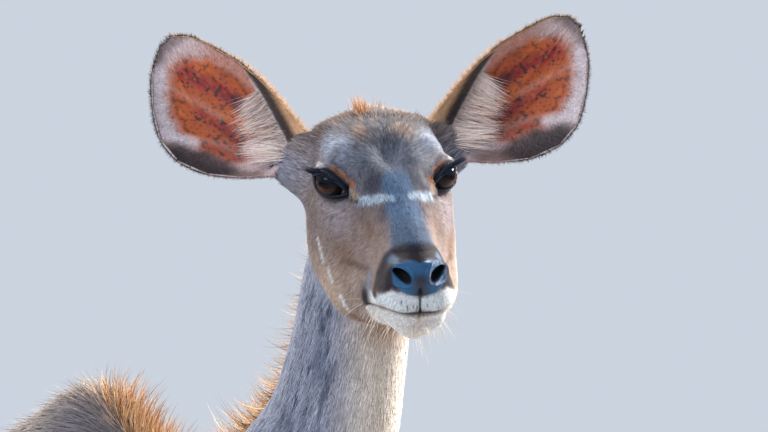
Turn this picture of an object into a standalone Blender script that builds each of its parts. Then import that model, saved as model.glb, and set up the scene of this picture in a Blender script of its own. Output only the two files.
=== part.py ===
"""Greater kudu cow, life size, standing square with the head raised and turned to its right.

Metres, +Z up. The cow faces -Y, so +X is its left side. The floor is z = 0.
The flesh is drawn as lofts, fused into one body, shaped, and then parted with thin cuts.
"""

import math

import bmesh
import bpy
import numpy as np
from mathutils import Matrix, Vector
from mathutils.bvhtree import BVHTree

# Driving sizes of the animal
WITHERS_HEIGHT = 1.300
EAR_LENGTH = 0.208
EYE_RADIUS = 0.0215
LID_THICKNESS = 0.0028
HOOF_TOP = 0.050
GAP = 0.0003

# Pose of the head: it is carried at this point, midway between the eyes
HEAD_PLACE = Vector((-0.090, -0.900, 1.558))
HEAD_TURN = math.radians(-33.4)
HEAD_NOD = math.radians(23.4)
HEAD_ROLL = math.radians(-3.6)
HEAD_POSE = (
    Matrix.Translation(HEAD_PLACE)
    @ Matrix.Rotation(HEAD_TURN, 4, "Z")
    @ Matrix.Rotation(HEAD_NOD, 4, "X")
    @ Matrix.Rotation(HEAD_ROLL, 4, "Y")
)

# The finished body is moved by this much, so that the origin is under the middle of its box
ORIGIN_SHIFT = Vector((0.0075, 0.1725, 0.0))

# How fine the fused body is
VOXEL = 0.0085
BODY_TRIANGLES = 5700


def spline(table, t):
    """Catmull-Rom curve through the rows of a table: row i is reached at t = i."""
    table = np.asarray(table, float)
    ends = np.vstack([2 * table[0] - table[1], table, 2 * table[-1] - table[-2]])
    i = np.clip(t.astype(int), 0, len(table) - 2)
    f = (t - i)[:, None]
    a, b, c, d = ends[i], ends[i + 1], ends[i + 2], ends[i + 3]
    return 0.5 * (2 * b + (c - a) * f + (2 * a - 5 * b + 4 * c - d) * f**2 + (3 * b - a - 3 * c + d) * f**3)


def unit(v):
    return v / np.maximum(np.linalg.norm(v, axis=-1, keepdims=True), 1e-12)


def smoothstep(low, high, x):
    t = np.clip((x - low) / (high - low), 0.0, 1.0)
    return t * t * (3.0 - 2.0 * t)


def tube(rows, rings, around, along=None, turn=None, square=2.0):
    """Grid of points round a path. A row is x, y, z, then the reach to the side, back and front."""
    t = np.linspace(0, len(rows) - 1, rings)
    s = spline(rows, t)
    centre, side, back, front = s[:, :3], s[:, 3], s[:, 4], s[:, 5]
    path = np.gradient(centre, axis=0) if along is None else np.tile(along, (rings, 1))
    path = unit(path)
    angle = np.zeros(rings) if turn is None else np.radians(spline(np.array(turn)[:, None], t)[:, 0])
    lateral = np.stack([np.cos(angle), np.sin(angle), 0 * angle], 1)
    lateral = unit(lateral - path * (lateral * path).sum(1, keepdims=True))
    dorsal = np.cross(path, lateral)
    a = np.linspace(0, 2 * math.pi, around, endpoint=False)
    across = np.sign(np.cos(a)) * np.abs(np.cos(a)) ** (2 / square)
    up = np.sign(np.sin(a)) * np.abs(np.sin(a)) ** (2 / square)
    reach = np.where(up > 0, back[:, None], front[:, None])
    return (
        centre[:, None]
        + lateral[:, None] * (side[:, None] * across)[..., None]
        + dorsal[:, None] * (reach * up)[..., None]
    )


def shell(grid):
    """Vertices and faces of a tube grid, closed by a point at each end."""
    rings, around = grid.shape[:2]
    points = np.vstack([grid.reshape(-1, 3), grid[0].mean(0), grid[-1].mean(0)])
    i = np.arange(rings - 1)[:, None] * around
    j = np.arange(around)
    k = (j + 1) % around
    quads = np.stack([i + j, i + k, i + around + k, i + around + j], -1).reshape(-1, 4)
    first, last = len(points) - 2, len(points) - 1
    tail = (rings - 1) * around
    caps = np.vstack(
        [
            np.stack([np.full(around, first), k, j], 1),
            np.stack([np.full(around, last), tail + j, tail + k], 1),
        ]
    )
    return points, [*quads.tolist(), *caps.tolist()]


def make_object(name, points, faces):
    mesh = bpy.data.meshes.new(name)
    mesh.from_pydata(np.asarray(points, float).tolist(), [], faces)
    mesh.update()
    obj = bpy.data.objects.new(name, mesh)
    bpy.context.scene.collection.objects.link(obj)
    return obj


def facing_out(obj):
    """Turns the faces of a closed mesh outwards and splits them into triangles."""
    work = bmesh.new()
    work.from_mesh(obj.data)
    bmesh.ops.recalc_face_normals(work, faces=work.faces)
    if work.calc_volume(signed=True) < 0:
        bmesh.ops.reverse_faces(work, faces=work.faces)
    work.to_mesh(obj.data)
    work.free()
    return obj


def remove(obj):
    bpy.data.objects.remove(obj, do_unlink=True)


def applied(obj):
    """Replaces the object's mesh by what its modifiers make of it."""
    graph = bpy.context.evaluated_depsgraph_get()
    mesh = bpy.data.meshes.new_from_object(obj.evaluated_get(graph))
    obj.modifiers.clear()
    obj.data = mesh
    return obj


def points_of(obj):
    flat = np.empty(len(obj.data.vertices) * 3)
    obj.data.vertices.foreach_get("co", flat)
    return flat.reshape(-1, 3)


def normals_of(obj):
    flat = np.empty(len(obj.data.vertices) * 3, np.float32)
    obj.data.vertex_normals.foreach_get("vector", flat)
    return flat.reshape(-1, 3).astype(float)


def set_points(obj, points):
    obj.data.vertices.foreach_set("co", points.astype(np.float32).ravel())
    obj.data.update()


def to_head(points):
    """Body coordinates to the head's own: x left, y back along the face, z up from it."""
    m = np.array(HEAD_POSE.inverted())
    return points @ m[:3, :3].T + m[:3, 3]


def from_head(points):
    m = np.array(HEAD_POSE)
    return np.asarray(points, float) @ m[:3, :3].T + m[:3, 3]


# Trunk: each row is a place along the back, the top line, the belly line, the half width and
# the height of the widest point
TRUNK_SECTIONS = [
    (-0.605, 1.030, 0.890, 0.045, 0.960),
    (-0.565, 1.110, 0.805, 0.088, 0.945),
    (-0.490, 1.190, 0.735, 0.120, 0.930),
    (-0.420, 1.238, 0.705, 0.138, 0.915),
    (-0.330, WITHERS_HEIGHT, 0.690, 0.150, 0.905),
    (-0.230, 1.258, 0.685, 0.162, 0.900),
    (-0.110, 1.214, 0.675, 0.180, 0.890),
    (0.040, 1.190, 0.670, 0.198, 0.885),
    (0.190, 1.186, 0.695, 0.197, 0.905),
    (0.320, 1.197, 0.745, 0.176, 0.950),
    (0.440, 1.192, 0.800, 0.165, 0.985),
    (0.540, 1.160, 0.850, 0.143, 1.000),
    (0.605, 1.115, 0.900, 0.105, 1.010),
    (0.640, 1.065, 0.950, 0.060, 1.010),
]

NECK_ROWS = [
    (0.000, -0.400, 1.000, 0.108, 0.165, 0.210),
    (0.000, -0.510, 1.070, 0.100, 0.120, 0.168),
    (-0.003, -0.628, 1.160, 0.084, 0.097, 0.126),
    (-0.010, -0.722, 1.255, 0.073, 0.084, 0.099),
    (-0.020, -0.768, 1.350, 0.066, 0.079, 0.083),
    (-0.026, -0.792, 1.440, 0.062, 0.076, 0.078),
    (-0.032, -0.808, 1.505, 0.055, 0.066, 0.066),
    (-0.036, -0.820, 1.545, 0.035, 0.045, 0.045),
]
NECK_TURN = (0.0, 0.0, -3.0, -8.0, -15.0, -23.0, -29.0, -32.0)

FRONT_LEG_ROWS = [
    (0.080, -0.430, 1.030, 0.050, 0.085, 0.080),
    (0.100, -0.430, 0.920, 0.056, 0.100, 0.090),
    (0.114, -0.415, 0.820, 0.050, 0.085, 0.066),
    (0.115, -0.405, 0.730, 0.041, 0.060, 0.047),
    (0.110, -0.408, 0.630, 0.032, 0.042, 0.036),
    (0.106, -0.412, 0.540, 0.026, 0.031, 0.029),
    (0.104, -0.415, 0.475, 0.026, 0.028, 0.028),
    (0.103, -0.418, 0.428, 0.030, 0.030, 0.031),
    (0.102, -0.415, 0.385, 0.025, 0.029, 0.024),
    (0.101, -0.412, 0.340, 0.0195, 0.024, 0.019),
    (0.100, -0.410, 0.260, 0.018, 0.023, 0.018),
    (0.100, -0.408, 0.190, 0.020, 0.025, 0.019),
    (0.100, -0.405, 0.148, 0.026, 0.030, 0.024),
    (0.100, -0.417, 0.108, 0.024, 0.023, 0.023),
    (0.100, -0.432, 0.075, 0.0285, 0.029, 0.027),
    (0.100, -0.437, 0.050, 0.029, 0.030, 0.028),
]

HIND_LEG_ROWS = [
    (0.080, 0.430, 1.060, 0.065, 0.160, 0.130),
    (0.108, 0.430, 0.940, 0.070, 0.178, 0.150),
    (0.122, 0.420, 0.830, 0.062, 0.155, 0.140),
    (0.126, 0.425, 0.740, 0.052, 0.112, 0.112),
    (0.122, 0.452, 0.655, 0.042, 0.075, 0.078),
    (0.115, 0.492, 0.580, 0.033, 0.060, 0.050),
    (0.110, 0.535, 0.515, 0.028, 0.058, 0.038),
    (0.108, 0.555, 0.465, 0.030, 0.044, 0.038),
    (0.107, 0.556, 0.425, 0.026, 0.035, 0.031),
    (0.106, 0.552, 0.380, 0.021, 0.030, 0.024),
    (0.105, 0.545, 0.290, 0.0185, 0.026, 0.020),
    (0.105, 0.540, 0.200, 0.0205, 0.027, 0.020),
    (0.105, 0.537, 0.152, 0.0265, 0.031, 0.025),
    (0.105, 0.523, 0.110, 0.0245, 0.024, 0.024),
    (0.105, 0.507, 0.075, 0.0285, 0.029, 0.027),
    (0.105, 0.502, 0.050, 0.029, 0.030, 0.028),
]

# The tail: its first row is inside the croup, and it hangs clear of the buttocks
TAIL_ROWS = [
    (0.000, 0.580, 1.078, 0.028, 0.028, 0.028),
    (0.000, 0.632, 1.086, 0.027, 0.025, 0.025),
    (0.000, 0.672, 1.076, 0.024, 0.021, 0.021),
    (0.000, 0.696, 1.038, 0.021, 0.018, 0.018),
    (0.000, 0.706, 0.980, 0.019, 0.016, 0.016),
    (0.000, 0.706, 0.910, 0.018, 0.015, 0.015),
    (0.000, 0.702, 0.840, 0.017, 0.014, 0.014),
    (0.000, 0.697, 0.780, 0.013, 0.011, 0.011),
    (0.000, 0.694, 0.745, 0.005, 0.005, 0.005),
]
TAIL_PLANE = 0.664

# How far each foot stands off its square place, and the height where that lean fades out
STANCE = {"front_left": -0.030, "front_right": 0.020, "hind_left": 0.045, "hind_right": -0.050}
LEAN_FROM = 0.90

# Lines along the head, read across from the nape to the nose tip
HEAD_LINES = {
    "along": (0.135, 0.105, 0.060, 0.020, -0.020, -0.060, -0.100, -0.145, -0.180, -0.207, -0.221),
    "crest": (0.020, 0.044, 0.054, 0.053, 0.047, 0.036, 0.026, 0.018, 0.014, 0.003, -0.018),
    "brow_out": (0.028, 0.046, 0.056, 0.059, 0.052, 0.037, 0.027, 0.022, 0.022, 0.021, 0.014),
    "brow_up": (0.004, 0.026, 0.038, 0.038, 0.029, 0.019, 0.012, 0.006, -0.001, -0.010, -0.024),
    "cheek_out": (0.040, 0.062, 0.074, 0.079, 0.074, 0.063, 0.053, 0.046, 0.043, 0.037, 0.024),
    "cheek_up": (-0.040, -0.034, -0.028, -0.022, -0.026, -0.036, -0.042, -0.046, -0.048, -0.047, -0.047),
    "jaw_out": (0.024, 0.052, 0.070, 0.074, 0.072, 0.067, 0.057, 0.042, 0.034, 0.028, 0.018),
    "jaw_up": (-0.070, -0.108, -0.121, -0.124, -0.121, -0.114, -0.104, -0.093, -0.091, -0.088, -0.074),
    "chin": (-0.075, -0.120, -0.143, -0.148, -0.145, -0.136, -0.123, -0.109, -0.106, -0.100, -0.081),
}


def trunk_grid(rings, around):
    rows = [
        (0.0, y, widest, half, top - widest, widest - belly)
        for y, top, belly, half, widest in TRUNK_SECTIONS
    ]
    return tube(rows, rings, around, along=(0, -1, 0), square=2.15)


def leg_grid(rows, side, lean, rings, around):
    grid = tube(rows, rings, around, along=(0, 0, 1), square=2.1)
    grid[..., 1] += lean * np.clip(1.0 - grid[..., 2] / LEAN_FROM, 0, None)
    grid[..., 0] *= side
    return grid


def head_grid(rings, around):
    """A spline net: eight lines run along the head, and rings run round it through them."""
    h = {k: np.array(v) for k, v in HEAD_LINES.items()}
    zero = 0 * h["along"]
    half = [("brow_out", "brow_up"), ("cheek_out", "cheek_up"), ("jaw_out", "jaw_up")]
    left = [np.stack([h[x], h["along"], h[z]], 1) for x, z in half]
    right = [line * (-1, 1, 1) for line in left[::-1]]
    crest = np.stack([zero, h["along"], h["crest"]], 1)
    chin = np.stack([zero, h["along"], h["chin"]], 1)
    net = np.stack([crest, *left, chin, *right], 1)
    t = np.linspace(0, len(net) - 1, rings)
    lines = np.stack([spline(net[:, k], t) for k in range(net.shape[1])], 1)
    looped = np.concatenate([lines[:, -1:], lines, lines[:, :2]], 1)
    a = 1 + np.linspace(0, net.shape[1], around, endpoint=False)
    return np.stack([spline(ring, a) for ring in looped])


# Each ear in the head's frame: the way it points and the way its opening faces
EAR_PLACE = Vector((0.094, 0.085, -0.004))
EAR_AIMS = {
    "left": (Vector((0.745, 0.240, 0.620)), Vector((-0.060, -0.890, 0.450))),
    "right": (Vector((-0.560, 0.700, 0.440)), Vector((-0.390, -0.640, 0.665))),
}
# Margins of the ear, base to tip: how far along, and how far to the upper or the lower side
EAR_UPPER = [
    (0.00, 0.034),
    (0.16, 0.039),
    (0.32, 0.042),
    (0.47, 0.042),
    (0.63, 0.039),
    (0.78, 0.031),
    (0.91, 0.022),
    (1.00, 0.006),
]
EAR_LOWER = [
    (0.00, -0.027),
    (0.12, -0.053),
    (0.27, -0.077),
    (0.44, -0.090),
    (0.61, -0.087),
    (0.77, -0.068),
    (0.91, -0.042),
    (1.00, -0.010),
]
EAR_CUP = (0.026, 0.034, 0.036, 0.034, 0.028, 0.020, 0.011, 0.004)
EAR_WALL = 0.0032

EYE_PLACE = Vector((0.0570, -0.003, 0.002))
EYE_AIM = Vector((0.70, -0.70, 0.10)).normalized()
EYE_SLANT = math.radians(14.0)
EYE_OPENING = {"inner": 0.0265, "outer": 0.0205, "upper": 0.0130, "lower": 0.0122}


def ear_frame(side):
    """The ear's own axes as a matrix: x towards its tip, y to its upper edge, z out of its cup."""
    along, face = EAR_AIMS[side]
    place = EAR_PLACE.copy()
    if side == "right":
        place.x = -place.x
    along = along.normalized()
    face = (face - along * face.dot(along)).normalized()
    upper = face.cross(along)
    if side == "right":
        upper = -upper
    m = Matrix((along, upper, face)).transposed().to_4x4()
    return HEAD_POSE @ Matrix.Translation(place) @ m


def eye_frame(side):
    """The eye's own axes as a matrix: x to its inner corner, y up the lids, z out of the eye."""
    sign = 1 if side == "left" else -1
    place = Vector((sign * EYE_PLACE.x, EYE_PLACE.y, EYE_PLACE.z))
    out = Vector((sign * EYE_AIM.x, EYE_AIM.y, EYE_AIM.z))
    inward = Vector((-sign * 1.0, -1.0, 0.0))
    inward = (inward - out * inward.dot(out)).normalized()
    up = Vector((0, 0, 1))
    up = (up - out * up.dot(out) - inward * up.dot(inward)).normalized()
    x = inward * math.cos(EYE_SLANT) - up * math.sin(EYE_SLANT)
    y = inward * math.sin(EYE_SLANT) + up * math.cos(EYE_SLANT)
    m = Matrix((x, y, out)).transposed().to_4x4()
    return HEAD_POSE @ Matrix.Translation(place) @ m


def moved(points, matrix):
    m = np.array(matrix)
    return np.asarray(points, float) @ m[:3, :3].T + m[:3, 3]


def ear_root_grid(side):
    """The muscle that carries the ear, from inside the skull out to the plane of its base."""
    rows = [
        (0.016, -0.075, 0.044, 0.036, 0.036),
        (0.014, -0.045, 0.042, 0.031, 0.031),
        (0.008, -0.018, 0.038, 0.024, 0.024),
        (0.004, 0.010, 0.032, 0.018, 0.018),
    ]
    # The tube stands on its z axis: its length becomes the ear's x and its width the ear's y
    grid = tube([(x, 0, *row) for x, *row in rows], 12, 28, along=(0, 0, 1))
    width, depth, length = grid[..., 0], grid[..., 1], grid[..., 2]
    return moved(np.stack([length, width, depth - 0.014], -1), ear_frame(side))


def ear_points(rows, across):
    """Inner and outer face of the ear's cup, as grids in the ear's own frame."""
    t = np.linspace(0, len(EAR_UPPER) - 1, rows)
    upper = spline(EAR_UPPER, t) * (EAR_LENGTH, 1)
    lower = spline(EAR_LOWER, t) * (EAR_LENGTH, 1)
    cup = spline(np.array(EAR_CUP)[:, None], t)[:, 0]
    v = np.linspace(0, 1, across)
    flat = upper[:, None] * (1 - v)[:, None] + lower[:, None] * v[:, None]
    arch = (4 * v * (1 - v)) ** 0.75
    depth = cup[:, None] * arch
    filled = smoothstep(0.0, 0.16, np.linspace(0, 1, rows))[:, None]
    inner = np.concatenate([flat, -(depth * filled)[..., None]], -1)
    wall = EAR_WALL * (0.45 + 0.55 * arch)
    outer = np.concatenate([flat, -(depth + wall)[..., None]], -1)
    return inner, outer


def ear_shell(side, rows=13, across=13):
    """The ear as one closed surface, both faces split alike."""
    inner, outer = ear_points(rows, across)
    points = np.vstack([inner.reshape(-1, 3), outer.reshape(-1, 3)])
    i = np.arange(rows - 1)[:, None] * across
    j = np.arange(across - 1)
    a, b, c, d = (x.ravel() for x in (i + j, i + j + 1, i + across + j + 1, i + across + j))
    back = rows * across
    front = np.stack([a, b, c, d], 1)
    behind = np.stack([a, d, c, b], 1) + back
    rim = [*range(across)]
    rim += [across * k + across - 1 for k in range(1, rows)]
    rim += [across * (rows - 1) + k for k in range(across - 2, -1, -1)]
    rim += [across * k for k in range(rows - 2, 0, -1)]
    edge = [(p, q, q + back, p + back) for p, q in zip(rim, rim[1:] + rim[:1])]
    faces = []
    for p, q, r, s in front.tolist():
        faces += [(p, q, r), (p, r, s)]
    for p, q, r, s in behind.tolist():
        faces += [(p, q, r), (p, r, s)]
    for p, q, r, s in edge:
        faces += [(p, s, r), (p, r, q)]
    return make_object("ear_" + side, moved(points, ear_frame(side)), faces)


# The lens magnifies space about the head, so that the voxels there come out finer
LENS_POWER, LENS_REACH, LENS_FADE = 2.3, 0.21, 0.10
LENS_RADII = np.linspace(0.0, 3.0, 3001)
LENS_SLOPE = 1 + (LENS_POWER - 1) * np.exp(-np.clip(LENS_RADII - LENS_REACH, 0, None) / LENS_FADE)
LENS_IMAGE = np.concatenate([[0], np.cumsum(0.5 * (LENS_SLOPE[1:] + LENS_SLOPE[:-1]) * LENS_RADII[1])])
LENS_CENTRE = from_head([[0.0, -0.05, -0.03]])[0]


def through_lens(points, out):
    """Moves points along their ray from the head, outwards when out is true, and back again."""
    offset = points - LENS_CENTRE
    r = np.linalg.norm(offset, axis=1, keepdims=True)
    image = np.interp(r, LENS_RADII, LENS_IMAGE) if out else np.interp(r, LENS_IMAGE, LENS_RADII)
    return LENS_CENTRE + offset * image / np.maximum(r, 1e-9)


def relax(obj, weight, rounds):
    """Moves each point part of the way to the mean of its neighbours, as far as its weight says."""
    edges = np.empty(len(obj.data.edges) * 2, np.int32)
    obj.data.edges.foreach_get("vertices", edges)
    a, b = edges.reshape(-1, 2).T
    points = points_of(obj)
    count = np.bincount(np.concatenate([a, b]), minlength=len(points))
    for _ in range(rounds):
        total = np.stack(
            [
                np.bincount(a, points[b, k], len(points)) + np.bincount(b, points[a, k], len(points))
                for k in range(3)
            ],
            1,
        )
        points += weight[:, None] * (total / count[:, None] - points)
    set_points(obj, points)


# Where limbs run into the trunk the skin is drawn smooth: a place, and how far the smoothing reaches
FOLDS = [
    ((0.12, -0.38, 0.78), 0.10),
    ((0.12, -0.52, 0.86), 0.09),
    ((0.14, 0.26, 0.80), 0.12),
    ((0.09, 0.40, 0.80), 0.12),
    ((0.10, 0.58, 0.90), 0.10),
    ((0.09, -0.52, 1.05), 0.12),
    ((0.05, -0.47, 1.22), 0.09),
    ((0.05, -0.60, 0.95), 0.10),
]
HEAD_FOLDS = [
    ((0.040, 0.090, -0.110), 0.055),
    ((0.000, 0.040, -0.130), 0.050),
    ((0.030, 0.130, -0.010), 0.050),
    ((0.066, 0.080, 0.020), 0.034),
    ((0.070, 0.075, -0.045), 0.030),
]

# Muscle and bone that swell the skin or leave a hollow: place, reach along x, y and z, height
BODY_FORMS = [
    ((0.110, -0.545, 0.930), (0.06, 0.05, 0.06), 0.016),
    ((0.110, -0.360, 1.080), (0.08, 0.055, 0.15), 0.009),
    ((0.130, -0.385, 0.900), (0.08, 0.08, 0.07), 0.010),
    ((0.140, -0.240, 1.060), (0.08, 0.05, 0.12), -0.007),
    ((0.120, -0.325, 0.775), (0.05, 0.03, 0.04), 0.010),
    ((0.140, 0.330, 1.120), (0.05, 0.05, 0.04), 0.014),
    ((0.190, 0.220, 1.080), (0.08, 0.09, 0.07), -0.020),
    ((0.160, 0.440, 0.960), (0.07, 0.12, 0.13), 0.014),
    ((0.130, 0.600, 1.010), (0.06, 0.04, 0.05), 0.010),
    ((0.180, 0.300, 0.830), (0.06, 0.05, 0.06), 0.010),
    ((0.060, -0.640, 1.120), (0.05, 0.06, 0.09), 0.006),
    ((0.100, 0.480, 0.600), (0.05, 0.030, 0.06), -0.004),
]


def swell(points, normals, centre, reach, height, mirrored=True):
    """Bell-shaped push along the normals, and the same on the other side."""
    total = 0.0
    for side in (1, -1) if mirrored else (1,):
        away = (points - np.array(centre) * (side, 1, 1)) / np.array(reach)
        total = total + height * np.exp(-(away**2).sum(1))
    return normals * total[:, None]


HEAD_FORMS = [
    ("orbit rim", (0.054, 0.012, 0.024), (0.016, 0.022, 0.010), 0.005),
    ("cheek bone", (0.062, -0.012, -0.024), (0.012, 0.030, 0.010), 0.004),
    ("cheek muscle", (0.060, 0.040, -0.060), (0.020, 0.035, 0.030), 0.005),
    ("temple hollow", (0.058, 0.050, 0.018), (0.016, 0.018, 0.014), -0.006),
    ("forehead", (0.024, 0.045, 0.052), (0.022, 0.030, 0.014), 0.005),
    ("brow dip", (0.000, -0.004, 0.048), (0.016, 0.030, 0.012), -0.003),
    ("eye hollow", (0.064, -0.022, -0.002), (0.018, 0.018, 0.016), -0.0065),
    ("tear groove", (0.050, -0.045, -0.006), (0.012, 0.016, 0.010), -0.003),
    ("muzzle hollow", (0.038, -0.105, -0.020), (0.012, 0.035, 0.014), -0.004),
    ("jaw hollow", (0.032, -0.085, -0.075), (0.012, 0.030, 0.012), -0.003),
    ("nostril wing", (0.031, -0.198, -0.018), (0.010, 0.014, 0.012), 0.0055),
    ("upper lip", (0.034, -0.188, -0.054), (0.014, 0.022, 0.012), 0.004),
    ("lip front", (0.014, -0.218, -0.053), (0.012, 0.010, 0.008), 0.003),
    ("lower lip", (0.014, -0.206, -0.078), (0.018, 0.014, 0.010), 0.004),
    ("mouth corner", (0.041, -0.146, -0.078), (0.008, 0.008, 0.008), 0.004),
    ("chin", (0.000, -0.178, -0.108), (0.020, 0.022, 0.014), 0.005),
    ("ear muscle", (0.073, 0.082, 0.032), (0.022, 0.030, 0.024), 0.010),
    ("throat latch", (0.030, 0.055, -0.122), (0.020, 0.030, 0.014), 0.003),
]

MOUTH_CORNER_Y, MOUTH_FRONT_Y = -0.148, -0.224
MOUTH_CORNER_Z, MOUTH_FRONT_Z = -0.079, -0.065
NOSTRIL = Vector((0.0185, -0.222, -0.022))


def shape_head(points, normals):
    """Bones, lips, mouth line, nostrils and the cleft of the upper lip, in the head's own frame."""
    move = sum(swell(points, normals, c, r, h) for _, c, r, h in HEAD_FORMS)
    x, y, z = points.T
    run = np.clip((y - MOUTH_CORNER_Y) / (MOUTH_FRONT_Y - MOUTH_CORNER_Y), 0, 1)
    line = MOUTH_CORNER_Z + (MOUTH_FRONT_Z - MOUTH_CORNER_Z) * np.sin(run * math.pi / 2)
    inside = smoothstep(MOUTH_CORNER_Y + 0.004, MOUTH_CORNER_Y - 0.008, y)
    mouth = 0.0055 * inside * np.exp(-(((z - line) / 0.0032) ** 2))
    mouth += 0.0045 * smoothstep(-0.150, -0.160, y) * smoothstep(0.0, 0.012, line - z)
    move = move - normals * mouth[:, None]
    # The nostril is a comma: a round pit whose tail runs up and out along the wing
    nx = np.abs(x) - NOSTRIL.x
    nz = z - NOSTRIL.z - 0.35 * nx
    pit = np.exp(-(((nx / 0.0085) ** 2 + (nz / 0.0062) ** 2) ** 1.6))
    pit *= smoothstep(-0.196, -0.206, y)
    cleft = np.exp(-((x / 0.0022) ** 2)) * smoothstep(-0.205, -0.212, y)
    cleft *= smoothstep(-0.026, -0.036, z) * smoothstep(-0.068, -0.064, z)
    back = np.zeros_like(points)
    back[:, 1] = 0.013 * pit + 0.0030 * cleft
    return move + back


def fused_body():
    """Trunk, neck, head and legs made one smooth closed mesh."""
    grids = [
        trunk_grid(64, 56),
        tube(NECK_ROWS, 40, 44, turn=NECK_TURN),
        from_head(head_grid(70, 64)),
    ]
    grids.append(tube(TAIL_ROWS, 30, 20))
    grids += [ear_root_grid(side) for side in EAR_AIMS]
    for leg, lean in STANCE.items():
        rows = FRONT_LEG_ROWS if leg.startswith("front") else HIND_LEG_ROWS
        grids.append(leg_grid(rows, 1 if leg.endswith("left") else -1, lean, 72, 28))
    points, faces = [], []
    for grid in grids:
        p, f = shell(grid)
        offset = sum(len(q) for q in points)
        points.append(through_lens(p, True))
        faces += [[offset + i for i in face] for face in f]
    body = facing_out(make_object("body", np.vstack(points), faces))
    fuse = body.modifiers.new("fuse", "REMESH")
    fuse.mode, fuse.voxel_size = "VOXEL", VOXEL
    applied(body)
    set_points(body, through_lens(points_of(body), False))
    smooth_folds(body)
    shape_skin(body)
    return body


def smooth_folds(body):
    points = points_of(body)
    weight = np.full(len(points), 0.12)
    for centre, reach in FOLDS:
        for side in (1, -1):
            away = np.linalg.norm(points - np.array(centre) * (side, 1, 1), axis=1) / reach
            weight = np.maximum(weight, 0.6 * np.exp(-(away**2)))
    local = to_head(points)
    for centre, reach in HEAD_FOLDS:
        for side in (1, -1):
            away = np.linalg.norm(local - np.array(centre) * (side, 1, 1), axis=1) / reach
            weight = np.maximum(weight, 0.6 * np.exp(-(away**2)))
    relax(body, weight, 30)


def shape_skin(body):
    points, normals = points_of(body), normals_of(body)
    move = sum(swell(points, normals, c, r, h) for c, r, h in BODY_FORMS)
    set_points(body, points + move)
    points, normals = points_of(body), normals_of(body)
    turn = np.array(HEAD_POSE)[:3, :3]
    local = to_head(points)
    near = np.linalg.norm(local - (0, -0.06, -0.03), axis=1) < 0.24
    move = np.zeros_like(points)
    move[near] = shape_head(local[near], normals[near] @ turn) @ turn.T
    set_points(body, points + move)


def thin_out(obj, triangles):
    """Drops triangles where the surface is plain, with the head twice under the lens."""
    set_points(obj, through_lens(through_lens(points_of(obj), True), True))
    loose = obj.modifiers.new("thin", "DECIMATE")
    obj.data.calc_loop_triangles()
    loose.ratio = triangles / len(obj.data.loop_triangles)
    loose.use_collapse_triangulate = True
    applied(obj)
    set_points(obj, through_lens(through_lens(points_of(obj), False), False))


def boolean(obj, others, operation, solver="EXACT"):
    """One Boolean of a collection of closed meshes with the object, applied."""
    group = bpy.data.collections.new("cutters")
    for other in others:
        group.objects.link(other)
    change = obj.modifiers.new("change", "BOOLEAN")
    change.operation, change.solver = operation, solver
    change.operand_type, change.collection = "COLLECTION", group
    applied(obj)
    for other in others:
        remove(other)
    bpy.data.collections.remove(group)


def eye_cutters(side):
    """The lids' opening and the socket: an almond driven in to the eyeball, and the eyeball's hole."""
    frame = eye_frame(side)
    a = np.linspace(0, 2 * math.pi, 28, endpoint=False)
    x = np.cos(a) * np.where(np.cos(a) > 0, EYE_OPENING["inner"], EYE_OPENING["outer"])
    lid = np.where(np.sin(a) > 0, EYE_OPENING["upper"], EYE_OPENING["lower"])
    y = np.sign(np.sin(a)) * lid * (1 - np.abs(np.cos(a)) ** 2.2)
    y += 1e-5 * np.sign(np.sin(a))
    rings = [np.stack([k * x, k * y, 0 * x + z], -1) for z, k in ((0.009, 0.97), (0.060, 1.25))]
    almond = facing_out(make_object("almond", *shell(moved(np.stack(rings), frame))))
    socket = ball("socket", EYE_RADIUS + GAP, frame)
    return [almond, socket]


def ball(name, radius, frame, detail=3):
    work = bmesh.new()
    bmesh.ops.create_icosphere(work, subdivisions=detail, radius=radius, matrix=frame)
    mesh = bpy.data.meshes.new(name)
    work.to_mesh(mesh)
    work.free()
    obj = bpy.data.objects.new(name, mesh)
    bpy.context.scene.collection.objects.link(obj)
    return facing_out(obj)


def half(obj, place, normal, name=None):
    """The part of a solid on the side its cut's normal points to, closed over the cut."""
    work = bmesh.new()
    work.from_mesh(obj.data)
    place = Vector(place) + Vector(normal).normalized() * GAP / 2
    everything = [*work.verts, *work.edges, *work.faces]
    bmesh.ops.bisect_plane(work, geom=everything, plane_co=place, plane_no=normal, clear_inner=True)
    open_edges = [e for e in work.edges if e.is_boundary]
    bmesh.ops.holes_fill(work, edges=open_edges, sides=0)
    bmesh.ops.triangulate(work, faces=[f for f in work.faces if len(f.verts) > 3])
    mesh = bpy.data.meshes.new(name or obj.name)
    work.to_mesh(mesh)
    work.free()
    part = bpy.data.objects.new(name or obj.name, mesh)
    bpy.context.scene.collection.objects.link(part)
    return part


def islands(obj):
    """The separate closed surfaces of a mesh, as lists of its faces, largest first."""
    work = bmesh.new()
    work.from_mesh(obj.data)
    left, found = set(work.faces), []
    while left:
        stack = [left.pop()]
        group = []
        while stack:
            face = stack.pop()
            group.append(face.index)
            for edge in face.edges:
                for other in edge.link_faces:
                    if other in left:
                        left.remove(other)
                        stack.append(other)
        found.append(group)
    work.free()
    return sorted(found, key=len, reverse=True)


def keep(obj, faces):
    """Leaves only the faces given, by their numbers."""
    work = bmesh.new()
    work.from_mesh(obj.data)
    wanted = set(faces)
    bmesh.ops.delete(work, geom=[f for f in work.faces if f.index not in wanted], context="FACES")
    work.to_mesh(obj.data)
    work.free()
    return obj


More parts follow.
